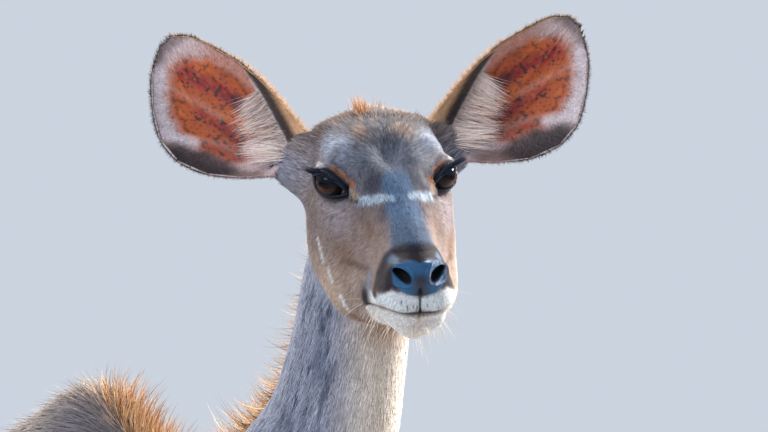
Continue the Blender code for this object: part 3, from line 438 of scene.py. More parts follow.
def ear_frame(side):
    """The ear's axes as a matrix: x to its tip, y to its upper edge, z out of its cup."""
    along, face = EAR_AIMS[side]
    place = EAR_PLACE.copy()
    if side == "right":
        place.x = -place.x
    along = along.normalized()
    face = (face - along * face.dot(along)).normalized()
    upper = face.cross(along)
    if side == "right":
        upper = -upper
    return HEAD_POSE @ Matrix.Translation(place) @ Matrix((along, upper, face)).transposed().to_4x4()


def eye_frame(side):
    """The eye's axes as a matrix: x to its inner corner, y up the lids, z out of the eye."""
    sign = SIDES[side]
    place = Vector((sign * EYE_PLACE.x, EYE_PLACE.y, EYE_PLACE.z))
    out = Vector((sign * EYE_AIM.x, EYE_AIM.y, EYE_AIM.z))
    inward = Vector((-sign * 1.0, -1.0, 0.0))
    inward = (inward - out * inward.dot(out)).normalized()
    up = Vector((0, 0, 1))
    up = (up - out * up.dot(out) - inward * up.dot(inward)).normalized()
    x = inward * math.cos(EYE_SLANT) - up * math.sin(EYE_SLANT)
    y = inward * math.sin(EYE_SLANT) + up * math.cos(EYE_SLANT)
    return HEAD_POSE @ Matrix.Translation(place) @ Matrix((x, y, out)).transposed().to_4x4()


def ear_root_grid(side):
    """The muscle that carries the ear, from inside the skull out to the plane of its base."""
    rows = [
        (0.016, -0.075, 0.044, 0.036, 0.036),
        (0.014, -0.045, 0.042, 0.031, 0.031),
        (0.008, -0.018, 0.038, 0.024, 0.024),
        (0.004, 0.012, 0.032, 0.018, 0.018),
    ]
    grid = tube([(x, 0, *row) for x, *row in rows], 12, 28, along=(0, 0, 1))
    width, depth, length = grid[..., 0], grid[..., 1], grid[..., 2]
    bent = np.stack([length, width, depth - 0.014], -1)
    return moved(bent.reshape(-1, 3), ear_frame(side)).reshape(grid.shape)


def to_eye(points, side):
    """The animal's coordinates to the eye's own."""
    return moved(points, eye_frame(side).inverted())


# %% [markdown]
# ## One skin
# Trunk, neck, head, legs, tail and ear roots overlap as separate shells. A voxel remesh melts
# them into one closed surface. The head needs finer voxels than the trunk, and Blender has
# one size for all, so space is first stretched round the head like a picture under a
# magnifying glass and let back afterwards.

# %% Fuse the lofts
VOXEL = 0.0105
LENS_POWER, LENS_REACH, LENS_FADE = 2.3, 0.21, 0.1
LENS_RADII = np.linspace(0.0, 3.0, 3001)
LENS_SLOPE = 1 + (LENS_POWER - 1) * np.exp(-np.clip(LENS_RADII - LENS_REACH, 0, None) / LENS_FADE)
LENS_IMAGE = np.concatenate([[0], np.cumsum(0.5 * (LENS_SLOPE[1:] + LENS_SLOPE[:-1]) * LENS_RADII[1])])
LENS_CENTRE = from_head([[0.0, -0.05, -0.03]])[0]


def through_lens(points, out):
    """Moves points along their ray from the head, outwards when out is true, and back again."""
    offset = points - LENS_CENTRE
    r = np.linalg.norm(offset, axis=1, keepdims=True)
    image = np.interp(r, LENS_RADII, LENS_IMAGE) if out else np.interp(r, LENS_IMAGE, LENS_RADII)
    return LENS_CENTRE + offset * image / np.maximum(r, 1e-9)


def capped(grid):
    """Points and triangles of a tube, closed by a point at each end and facing outwards."""
    rings, around = grid.shape[:2]
    points = np.vstack([grid.reshape(-1, 3), grid[0].mean(0), grid[-1].mean(0)])
    quads = grid_faces(rings, around)
    j = np.arange(around)
    k = (j + 1) % around
    first = np.stack([np.full(around, len(points) - 2), k, j], 1)
    last = np.stack([np.full(around, len(points) - 1), (rings - 1) * around + j, (rings - 1) * around + k], 1)
    faces = np.vstack([quads[:, [0, 1, 2]], quads[:, [0, 2, 3]], first, last])
    a, b, c = points[faces].transpose(1, 0, 2)
    if np.einsum("ij,ij->", a, np.cross(b, c)) < 0:
        faces = faces[:, ::-1]
    return points, faces


grids = [trunk_grid(64, 56), tube(NECK_ROWS, 40, 44, turn=NECK_TURN)]
grids.append(from_head(head_grid(70, 64).reshape(-1, 3)).reshape(70, 64, 3))
grids.append(tube(TAIL_ROWS, 30, 20))
grids += [ear_root_grid(side) for side in SIDES]
grids += [leg_grid(*leg_of(leg), 72, 28) for leg in STANCE]
all_points, all_faces, count = [], [], 0
for grid in grids:
    p, f = capped(grid)
    all_points.append(through_lens(p, True))
    all_faces.append(f + count)
    count += len(p)
skin = build_mesh("kudu_skin", np.vstack(all_points), np.vstack(all_faces))
fuse = skin.modifiers.new("fuse", "REMESH")
fuse.mode = "VOXEL"
fuse.voxel_size = VOXEL
applied(skin)
set_points(skin, through_lens(points_of(skin), False))
print("one skin of", len(skin.data.polygons), "faces")

# %% [markdown]
# ## Muscle and bone under the skin
# Where limbs run into the trunk the surface is relaxed, as skin is. Then muscles and bones
# are pressed out from inside: each is a bell-shaped push along the normals, with a place, a
# reach and a height, and the same on the other side of the body.

# %% Relax the folds and swell the muscles
FOLDS = [
    ((0.12, -0.38, 0.78), 0.1),
    ((0.12, -0.52, 0.86), 0.09),
    ((0.14, 0.26, 0.8), 0.12),
    ((0.09, 0.4, 0.8), 0.12),
    ((0.1, 0.58, 0.9), 0.1),
    ((0.09, -0.52, 1.05), 0.12),
    ((0.05, -0.47, 1.22), 0.09),
    ((0.05, -0.6, 0.95), 0.1),
]
HEAD_FOLDS = [
    ((0.04, 0.09, -0.11), 0.055),
    ((0.0, 0.04, -0.13), 0.05),
    ((0.03, 0.13, -0.01), 0.05),
    ((0.066, 0.08, 0.02), 0.034),
    ((0.07, 0.075, -0.045), 0.03),
]
BODY_FORMS = [
    ("point of shoulder", (0.11, -0.545, 0.93), (0.06, 0.05, 0.06), 0.016),
    ("shoulder blade", (0.11, -0.36, 1.08), (0.08, 0.055, 0.15), 0.009),
    ("upper arm", (0.13, -0.385, 0.9), (0.08, 0.08, 0.07), 0.01),
    ("behind the shoulder", (0.14, -0.24, 1.06), (0.08, 0.05, 0.12), -0.007),
    ("elbow", (0.12, -0.325, 0.775), (0.05, 0.03, 0.04), 0.01),
    ("hip bone", (0.14, 0.33, 1.12), (0.05, 0.05, 0.04), 0.014),
    ("flank hollow", (0.19, 0.22, 1.08), (0.08, 0.09, 0.07), -0.02),
    ("thigh", (0.16, 0.44, 0.96), (0.07, 0.12, 0.13), 0.014),
    ("seat bone", (0.13, 0.6, 1.01), (0.06, 0.04, 0.05), 0.01),
    ("stifle", (0.18, 0.3, 0.83), (0.06, 0.05, 0.06), 0.01),
    ("neck muscle", (0.06, -0.64, 1.12), (0.05, 0.06, 0.09), 0.006),
    ("hock hollow", (0.1, 0.48, 0.6), (0.05, 0.03, 0.06), -0.004),
]
HEAD_FORMS = [
    ("orbit rim", (0.054, 0.012, 0.024), (0.016, 0.022, 0.01), 0.005),
    ("cheek bone", (0.062, -0.012, -0.024), (0.012, 0.03, 0.01), 0.004),
    ("cheek muscle", (0.06, 0.04, -0.06), (0.02, 0.035, 0.03), 0.005),
    ("temple hollow", (0.058, 0.05, 0.018), (0.016, 0.018, 0.014), -0.006),
    ("forehead", (0.03, 0.06, 0.05), (0.024, 0.032, 0.018), -0.0042),
    ("brow dip", (0.0, -0.02, 0.044), (0.018, 0.03, 0.016), -0.0055),
    ("brow ridge", (0.052, 0.002, 0.038), (0.011, 0.017, 0.011), 0.0062),
    ("inner brow hollow", (0.043, -0.042, 0.022), (0.012, 0.018, 0.011), -0.0062),
    ("face crest", (0.05, -0.08, -0.022), (0.006, 0.03, 0.012), 0.0022),
    ("jaw edge", (0.045, -0.075, -0.118), (0.028, 0.045, 0.028), 0.0125),
    ("jaw front", (0.028, -0.125, -0.108), (0.022, 0.028, 0.02), 0.0075),
    ("crown corner", (0.056, 0.08, 0.03), (0.016, 0.028, 0.016), 0.003),
    ("bridge edge", (0.022, -0.09, 0.024), (0.006, 0.045, 0.008), 0.0018),
    ("eye hollow", (0.064, -0.022, -0.002), (0.018, 0.018, 0.016), -0.0065),
    ("tear groove", (0.05, -0.045, -0.006), (0.012, 0.016, 0.01), -0.003),
    ("muzzle hollow", (0.038, -0.105, -0.02), (0.012, 0.035, 0.014), -0.004),
    ("jaw hollow", (0.032, -0.085, -0.075), (0.012, 0.03, 0.012), -0.003),
    ("nostril wing", (0.031, -0.198, -0.018), (0.01, 0.014, 0.012), 0.0055),
    ("upper lip", (0.034, -0.188, -0.054), (0.014, 0.022, 0.012), 0.004),
    ("lip front", (0.014, -0.218, -0.053), (0.012, 0.01, 0.008), 0.003),
    ("lower lip", (0.014, -0.206, -0.078), (0.018, 0.014, 0.01), 0.004),
    ("mouth corner", (0.041, -0.146, -0.078), (0.008, 0.008, 0.008), 0.004),
    ("chin", (0.0, -0.178, -0.108), (0.02, 0.022, 0.014), 0.005),
    ("ear muscle", (0.073, 0.082, 0.032), (0.022, 0.03, 0.024), 0.014),
    ("throat latch", (0.03, 0.055, -0.122), (0.02, 0.03, 0.014), 0.003),
]


def relax(obj, weight, rounds):
    """Moves each point part of the way to the mean of its neighbours, as far as its weight says."""
    edges = np.empty(len(obj.data.edges) * 2, np.int32)
    obj.data.edges.foreach_get("vertices", edges)
    a, b = edges.reshape(-1, 2).T
    points = points_of(obj)
    size = len(points)
    count = np.bincount(np.concatenate([a, b]), minlength=size)[:, None]
    for _ in range(rounds):
        sums = [np.bincount(a, points[b, k], size) + np.bincount(b, points[a, k], size) for k in range(3)]
        points += weight[:, None] * (np.stack(sums, 1) / count - points)
    set_points(obj, points)


def near_folds(points, folds):
    """The strongest of the bells round these places, left and right."""
    weight = np.zeros(len(points))
    for centre, reach in folds:
        for side in SIDES.values():
            away = np.linalg.norm(points - np.array(centre) * (side, 1, 1), axis=1)
            weight = np.maximum(weight, 0.6 * bell(away, reach))
    return weight


def swell(points, forms):
    """How far each form pushes each point out: height * exp(-(offset / reach)^2), both sides."""
    total = np.zeros(len(points))
    for _, centre, reach, height in forms:
        for side in SIDES.values():
            away = (points - np.array(centre) * (side, 1, 1)) / np.array(reach)
            total += height * np.exp(-(away**2).sum(1))
    return total


p = points_of(skin)
relax(skin, np.maximum(0.12, np.maximum(near_folds(p, FOLDS), near_folds(to_head(p), HEAD_FOLDS))), 30)
p = points_of(skin)
set_points(skin, p + normals_of(skin) * swell(p, BODY_FORMS)[:, None])
p = points_of(skin)
local = to_head(p)
on_head = np.linalg.norm(local - (0, -0.06, -0.03), axis=1) < 0.24
set_points(skin, p + normals_of(skin) * np.where(on_head, swell(local, HEAD_FORMS), 0)[:, None])

# %% [markdown]
# ## A finer mesh where the face is busy
# The lids, the nostrils and the lips are drawn with lines a millimetre wide, so the mesh there
# has to be as fine. Subdividing only those places, twice, costs far less than a finer remesh
# of everything.

# %% Subdivide round the eyes and the muzzle
def refine(obj, wanted):
    """Cuts in half the edges whose two ends are both wanted."""
    work = bmesh.new()
    work.from_mesh(obj.data)
    edges = [e for e in work.edges if wanted[e.verts[0].index] and wanted[e.verts[1].index]]
    bmesh.ops.subdivide_edges(work, edges=edges, cuts=1, use_grid_fill=True)
    work.to_mesh(obj.data)
    work.free()


def eye_distance(points):
    """How far each point is from the nearer eye's middle."""
    return np.minimum(*[np.linalg.norm(to_eye(points, side), axis=1) for side in SIDES])


p = points_of(skin)
local = to_head(p)
refine(skin, (local[:, 1] < -0.13) | (eye_distance(p) < 0.046))
p = points_of(skin)
local = to_head(p)
refine(skin, ((local[:, 1] < -0.176) & (local[:, 2] > -0.078)) | (eye_distance(p) < 0.036))
p = points_of(skin)
soft = np.where((to_head(p)[:, 1] < -0.125) | (eye_distance(p) < 0.05), 0.5, 0.0)
relax(skin, soft, 4)
print("after refining:", len(skin.data.polygons), "faces")

# %% [markdown]
# ## Lids, nostrils and lips
# The eyelids are a thin skin over the eyeball. Near each eye the surface is a height field
# along the line of sight: inside the almond it dives behind the ball, at its edge it stands a
# little over the ball, and further out it runs into the face. The nostrils, the cleft of the
# upper lip and the mouth are narrow furrows pressed in from the front.

# %% Shape the lids
EYE_OPENING = {"inner": 0.027, "outer": 0.0205, "upper": 0.0128, "lower": 0.0118}
LID_THICKNESS = 0.0022
LID_SCALE = 0.0122


def almond(x, y):
    """About the metres from the lids' edge, below 0 in the opening, where each share is of a half size:
    0.0122 times (share of the height + share of the length to the power 2.2 - 1)."""
    across = np.abs(x) / np.where(x > 0, EYE_OPENING["inner"], EYE_OPENING["outer"])
    up = np.abs(y) / np.where(y > 0, EYE_OPENING["upper"], EYE_OPENING["lower"])
    return (up + across**2.2 - 1) * LID_SCALE


def ball_height(x, y):
    """The eyeball's height over its middle, carried on as a straight slope past 0.8 of its radius."""
    r = np.hypot(x, y)
    edge = 0.8 * EYE_RADIUS
    on_ball = np.sqrt(np.maximum(EYE_RADIUS**2 - np.minimum(r, edge) ** 2, 0))
    return on_ball - 0.75 * np.maximum(r - edge, 0)


def shape_lids(obj):
    """Moves the points round each eye along its line of sight to the lids' height."""
    p = points_of(obj)
    for side in SIDES:
        local = to_eye(p, side)
        x, y, z = local.T
        d = almond(x, y)
        ball = ball_height(x, y)
        lid = ball + LID_THICKNESS * ramp(-0.0008, 0.0012, d)
        lid -= 0.0014 * bell(d - 0.0072, 0.0013) * (y > 0)
        lid += 0.0012 * bell(d - 0.0105, 0.003) * ramp(0.0, 0.006, y)
        inside = ball - 0.0045 * ramp(0.0, -0.0016, d)
        target = np.where(d < 0, np.minimum(inside, lid), lid)
        height = mix(target, z, ramp(0.0075, 0.017, d))
        near = (np.hypot(x, y) < 0.05) & (z > -0.018)
        local[near, 2] = height[near]
        p = np.where(near[:, None], moved(local, eye_frame(side)), p)
    set_points(obj, p)


shape_lids(skin)

# %% Shape the muzzle
MOUTH_CORNER_Y = -0.148
MOUTH_LINE = (
    (-0.224, -0.0595), (-0.215, -0.059), (-0.205, -0.0585),
    (-0.185, -0.065), (-0.165, -0.0745), (-0.145, -0.0815),
)
NOSTRIL_PLACE = (0.02, -0.0168)


def mouth_height(y):
    """The closed lips' line, through its places in profile, from the front back to the corner."""
    return np.interp(y, *np.array(MOUTH_LINE).T)


def nostril_pit(x, z):
    """1 in the nostril: a round hole whose tail runs up and out along the wing, like a comma."""
    nx = np.abs(x) - NOSTRIL_PLACE[0]
    nz = z - NOSTRIL_PLACE[1] - 0.38 * nx
    tall = 0.0049 - 0.18 * nx
    return np.exp(-(((nx / 0.0078) ** 2 + (nz / np.maximum(tall, 0.002)) ** 2) ** 2.2))


def shape_muzzle(obj):
    """Presses in mouth, nostrils and cleft, and raises the edge of the nose pad."""
    p = points_of(obj)
    n = normals_of(obj) @ HEAD_AXES
    local = to_head(p)
    x, y, z = local.T
    line = mouth_height(y)
    inside = ramp(MOUTH_CORNER_Y + 0.004, MOUTH_CORNER_Y - 0.008, y) * (np.abs(x) < 0.07)
    furrow = 0.0042 * inside * bell(z - line, 0.0022)
    furrow += 0.0042 * ramp(-0.15, -0.16, y) * ramp(0.0, 0.01, line - z)
    wing = np.hypot(np.abs(x) - NOSTRIL_PLACE[0], z - NOSTRIL_PLACE[1])
    front = ramp(-0.19, -0.204, y)
    raised = 0.0018 * bell(wing - 0.0115, 0.003) * front * (z > NOSTRIL_PLACE[1] - 0.012)
    pad_edge = z + 0.0035 + 260 * np.minimum(np.abs(x), 0.03) ** 3
    raised += 0.0013 * front * bell(pad_edge, 0.0035) * (np.abs(x) < 0.03)
    local += n * (raised - furrow)[:, None]
    cleft = bell(x + 0.0008, 0.0018) * ramp(-0.205, -0.212, y)
    cleft *= ramp(-0.026, -0.034, z) * ramp(-0.069, -0.064, z)
    local[:, 1] += 0.014 * nostril_pit(x, z) * front + 0.003 * cleft
    on_muzzle = (y < -0.13) & (np.abs(x) < 0.07) & (np.abs(z + 0.05) < 0.12)
    set_points(obj, np.where(on_muzzle[:, None], from_head(local), p))


shape_muzzle(skin)
print("lids and muzzle shaped, eyes", round(EYE_OPENING["inner"] + EYE_OPENING["outer"], 4), "m long")

# %% [markdown]
# ## Where each part begins
# Skin and hair share one map of the animal. Soft weights say how much a point belongs to the
# head, the neck, the legs or the tail. They come from the planes where the frame's solids are
# parted, and they fade over a few centimetres so that no marking ends in a line.

# %% Regions of the body
BACKWARD = np.array([math.sin(-HEAD_TURN), math.cos(HEAD_TURN), 0.0])
HEAD_END = (
    np.array(HEAD_PLACE) + 0.1 * BACKWARD - (0, 0, 0.092),
    unit(np.array([0, 0, 0.8]) - 0.6 * BACKWARD),
)
NECK_END = (np.array([0, -0.55, 1.12]), unit(np.array([0, -0.85, 0.53])))


def beyond(points, plane, fade):
    """0 on one side of a plane and 1 on the side it faces, over twice the fade."""
    return ramp(-fade, fade, (points - plane[0]) @ plane[1])


def regions(points):
    """Weights of head, neck, trunk, legs and tail, which add up to 1."""
    x, y, z = points.T
    head = beyond(points, HEAD_END, 0.03)
    neck = beyond(points, NECK_END, 0.07) * (1 - head)
    tail = ramp(0.615, 0.665, y) * ramp(0.055, 0.035, np.abs(x)) * ramp(0.7, 0.74, z)
    legs = ramp(0.76, 0.56, z) * (1 - tail) * (1 - head) * (1 - neck)
    return {"head": head, "neck": neck, "tail": tail, "legs": legs, "trunk": 1 - head - neck - tail - legs}


NECK_PATH = np.array([row[:3] for row in NECK_ROWS])
TAIL_PATH = np.array([row[:3] for row in TAIL_ROWS])


def along_path(points, path, count=60):
    """For each point: how far down the path its nearest place is (0 to 1), and the path's direction."""
    line = spline(path, np.linspace(0, len(path) - 1, count))
    way = unit(np.gradient(line, axis=0))
    near = np.empty(len(points), int)
    for start in range(0, len(points), 40000):
        chunk = points[start : start + 40000]
        near[start : start + 40000] = ((chunk[:, None] - line) ** 2).sum(-1).argmin(1)
    return near / (count - 1), way[near]


def neck_sides(points):
    """How far up the neck a point is (0 to 1), how far to its left, and how far towards the mane."""
    share, way = along_path(points, NECK_PATH)
    t = share * (len(NECK_PATH) - 1)
    turn = np.radians(spline(np.array(NECK_TURN)[:, None], t)[:, 0])
    lateral = np.stack([np.cos(turn), np.sin(turn), 0 * turn], 1)
    lateral = unit(lateral - way * (lateral * way).sum(1, keepdims=True))
    offset = points - spline(NECK_PATH, t)
    return share, (offset * lateral).sum(1), (offset * np.cross(way, lateral)).sum(1)


w = regions(points_of(skin))
print("share of points:", {k: round(float(v.mean()), 3) for k, v in w.items()})

# %% [markdown]
# ## The lie of the coat
# Hair grows in a direction that stroking would smooth: down the neck, back and down over the
# barrel, straight down the legs. On the forehead it fans out from a whorl between the eyes,
# up to the crown and down to the nose. The field below gives that direction for any point,
# laid flat on the skin.

# %% Direction of the hair
WHORL = np.array([0.0, -0.03, 0.04])


def lie_of_coat(points, normals):
    """The way the hair points, as a unit vector in the skin's plane."""
    w = regions(points)
    local = to_head(points)
    x, y, z = local.T
    sign = np.sign(x)
    fan = unit((local - WHORL) * (1.0, 1.0, 0.3) + (0, 0.004, 0))
    bridge = np.stack([0.12 * sign, -1 + 0 * x, -0.1 + 0 * x], 1)
    cheek = np.stack([0 * x, 0.5 + 0 * x, -0.85 + 0 * x], 1)
    lips = np.stack([0.25 * sign, 0.12 + 0 * x, -0.95 + 0 * x], 1)
    to_ear = unit(np.stack([1.0 * sign, 0.35 + 0 * x, 0.45 + 0 * x], 1))
    above = ramp(WHORL[1] - 0.012, WHORL[1] + 0.012, y)
    side = ramp(0.018, -0.012, z)
    head = mix(bridge, fan, above)
    head = mix(head, cheek, side)
    head = mix(head, lips, ramp(-0.15, -0.178, y) * ramp(-0.02, -0.034, z))
    head = mix(head, to_ear, ramp(0.06, 0.085, np.abs(x)) * ramp(0.03, 0.06, y) * above)
    _, down_neck = along_path(points, NECK_PATH[::-1])
    _, down_tail = along_path(points, TAIL_PATH)
    thigh = ramp(0.22, 0.42, points[:, 1]) * ramp(1.12, 0.9, points[:, 2])
    shoulder = ramp(-0.28, -0.42, points[:, 1]) * ramp(1.15, 0.95, points[:, 2])
    drop = -0.3 - 1.0 * np.maximum(thigh, shoulder)
    trunk = unit(np.stack([0 * x, 1 + 0 * x, drop], 1))
    legs = np.tile((0.0, 0.12, -1.0), (len(points), 1))
    total = moved(head, HEAD_POSE.to_3x3().to_4x4()) * w["head"][:, None]
    for part, way in (("neck", down_neck), ("tail", down_tail), ("trunk", trunk), ("legs", legs)):
        total += way * w[part][:, None]
    total -= normals * (total * normals).sum(1, keepdims=True)
    return unit(total)


# %% [markdown]
# ## The markings
# The colours are given by name. A cow in winter coat is slate and grey, warmer on the
# cheeks, with a white chevron between the eyes, white lips and chin, thin white stripes down
# the flanks and tawny lower legs. The lilac blue in her grey is painted sky light, as it falls
# in shade. Every marking is a soft mask over the body's own coordinates, so it is the same for
# the skin and for each hair that grows there.

# %% Named colours
def tone(r, g, b):
    """An everyday 0 to 255 colour turned into the linear values that a renderer adds up."""
    c = np.array([r, g, b]) / 255.0
    return np.where(c <= 0.04045, c / 12.92, ((c + 0.055) / 1.055) ** 2.4)


SLATE = tone(88, 100, 124)
DEEP_SLATE = tone(48, 56, 76)
# Grey with a painted lilac blue for the sky light in shade
SKY_TINTED_GREY = tone(150, 156, 178)
TAUPE = tone(150, 134, 130)
PINK_FAWN = tone(192, 164, 150)
CREAM = tone(232, 216, 200)
WHITE = tone(238, 240, 244)
STREAK_ORANGE = tone(170, 108, 66)
PAD_BROWN = tone(46, 38, 44)
PAD_SKY_REFLECTION = tone(42, 94, 138)
BLACK = tone(14, 13, 17)
GREY_BROWN = tone(150, 139, 130)
TAWNY = tone(172, 134, 98)
DARK_LEG = tone(70, 58, 50)


# %% Marks on the face
def mirrored(points):
    """A copy with every x made positive, so that both sides of the face are marked alike."""
    copy = np.array(points, float)
    copy[:, 0] = np.abs(copy[:, 0])
    return copy


def stroke(points, *line, width, soft=0.5):
    """1 near a bent line through these places and 0 past its width; both sides of the face alike."""
    q = mirrored(points)
    away = np.full(len(q), 9.0)
    for a, b in zip(line, line[1:]):
        a, b = np.array(a), np.array(b)
        t = np.clip((q - a) @ (b - a) / ((b - a) @ (b - a)), 0, 1)
        away = np.minimum(away, np.linalg.norm(q - a - t[:, None] * (b - a), axis=1))
    return ramp(width * (1 + soft), width * (1 - soft), away)


def patch(points, place, size):
    """A soft spot, exp(-d squared) with d counted in the spot's half sizes; on both sides alike."""
    return np.exp(-(((mirrored(points) - place) / size) ** 2).sum(1))


FACE_PATCHES = [
    ("cheek", tone(160, 140, 130), 0.85, (0.06, -0.085, -0.075), (0.03, 0.06, 0.04)),
    ("flank of the jaw", tone(198, 174, 158), 0.8, (0.066, -0.058, -0.1), (0.02, 0.052, 0.028)),
    ("under the eye", tone(160, 148, 156), 0.75, (0.06, -0.048, -0.024), (0.022, 0.038, 0.022)),
    ("beside the bridge", tone(142, 118, 108), 0.8, (0.036, -0.1, -0.008), (0.014, 0.036, 0.022)),
    ("under the chevron", tone(74, 66, 80), 0.8, (0.02, -0.106, 0.014), (0.012, 0.014, 0.011)),
    ("above the smile", tone(138, 110, 94), 0.7, (0.06, -0.08, -0.046), (0.016, 0.038, 0.012)),
    ("below the smile", tone(178, 158, 148), 0.6, (0.048, -0.125, -0.066), (0.016, 0.026, 0.018)),
    ("forehead", tone(116, 122, 138), 1.0, (0.0, 0.01, 0.04), (0.08, 0.095, 0.045)),
    ("over the chevron", tone(42, 50, 72), 0.72, (0.026, -0.06, 0.026), (0.022, 0.024, 0.024)),
    ("beside the crown", tone(58, 54, 62), 0.75, (0.062, 0.063, 0.036), (0.016, 0.018, 0.015)),
    ("tan forelock", tone(132, 106, 88), 0.65, (0.024, 0.026, 0.049), (0.016, 0.024, 0.012)),
    ("tan crown", tone(120, 96, 82), 0.8, (0.04, 0.088, 0.034), (0.034, 0.024, 0.024)),
    ("dark parting", tone(70, 56, 54), 0.5, (0.01, 0.064, 0.049), (0.018, 0.011, 0.012)),
    # A painted pale blue sheen on the brow ridge
    ("brow", tone(150, 166, 192), 0.75, (0.058, 0.024, 0.036), (0.011, 0.022, 0.012)),
    ("mouth corner", tone(36, 34, 46), 0.95, (0.047, -0.143, -0.071), (0.01, 0.009, 0.011)),
    # Two more spots of painted pale blue sheen along the brow ridge
    ("middle brow", tone(166, 176, 196), 0.75, (0.048, 0.012, 0.043), (0.01, 0.014, 0.01)),
    ("inner brow", tone(160, 172, 194), 0.7, (0.047, -0.001, 0.042), (0.007, 0.01, 0.008)),
]
FACE_STROKES = [
    ("smile", tone(92, 68, 58), 0.55, 0.0036, 0.9,
     (0.0606, -0.0787, -0.058), (0.0512, -0.1076, -0.0475), (0.0435, -0.14, -0.04)),
    ("jaw", tone(132, 92, 68), 0.8, 0.008, 0.7,
     (0.052, -0.108, -0.112), (0.036, -0.126, -0.117), (0.018, -0.136, -0.121)),
    ("orange", STREAK_ORANGE, 0.95, 0.0046, 0.7,
     (0.062, -0.014, 0.023), (0.053, -0.023, 0.0195), (0.0455, -0.036, 0.0165)),
    # A painted shade in the fold over the upper lid
    ("crease", tone(52, 60, 82), 0.6, 0.003, 0.7,
     (0.062, -0.006, 0.03), (0.05, -0.022, 0.027), (0.041, -0.04, 0.02)),
    ("pale under it", tone(190, 162, 138), 0.6, 0.0034, 0.6,
     (0.058, -0.018, 0.017), (0.05, -0.029, 0.012), (0.045, -0.045, 0.01), (0.042, -0.055, 0.01)),
    # A painted highlight in white on the upper lid
    ("lid", WHITE, 0.75, 0.0042, 0.5,
     (0.074, 0.03, 0.01), (0.074, 0.018, 0.016), (0.071, -0.004, 0.022)),
    ("inner corner", BLACK, 0.9, 0.0019, 0.5,
     (0.053, -0.044, 0.005), (0.047, -0.055, 0.0065), (0.0435, -0.06, 0.008)),
    ("first cheek streak", WHITE, 0.9, 0.003, 0.5,
     (0.079, -0.015, -0.058), (0.0745, -0.036, -0.077)),
    ("second cheek streak", WHITE, 0.9, 0.003, 0.5,
     (0.0725, -0.052, -0.077), (0.069, -0.068, -0.089)),
    ("third cheek streak", WHITE, 0.9, 0.0032, 0.5,
     (0.064, -0.092, -0.094), (0.06, -0.11, -0.107)),
    ("cold patch", tone(138, 152, 178), 0.8, 0.007, 0.8,
     (0.0445, -0.15, -0.046), (0.0455, -0.152, -0.058)),
    ("dark line to the corner", tone(40, 38, 50), 0.8, 0.0045, 0.6,
     (0.047, -0.144, -0.066), (0.0445, -0.1495, -0.077)),
]


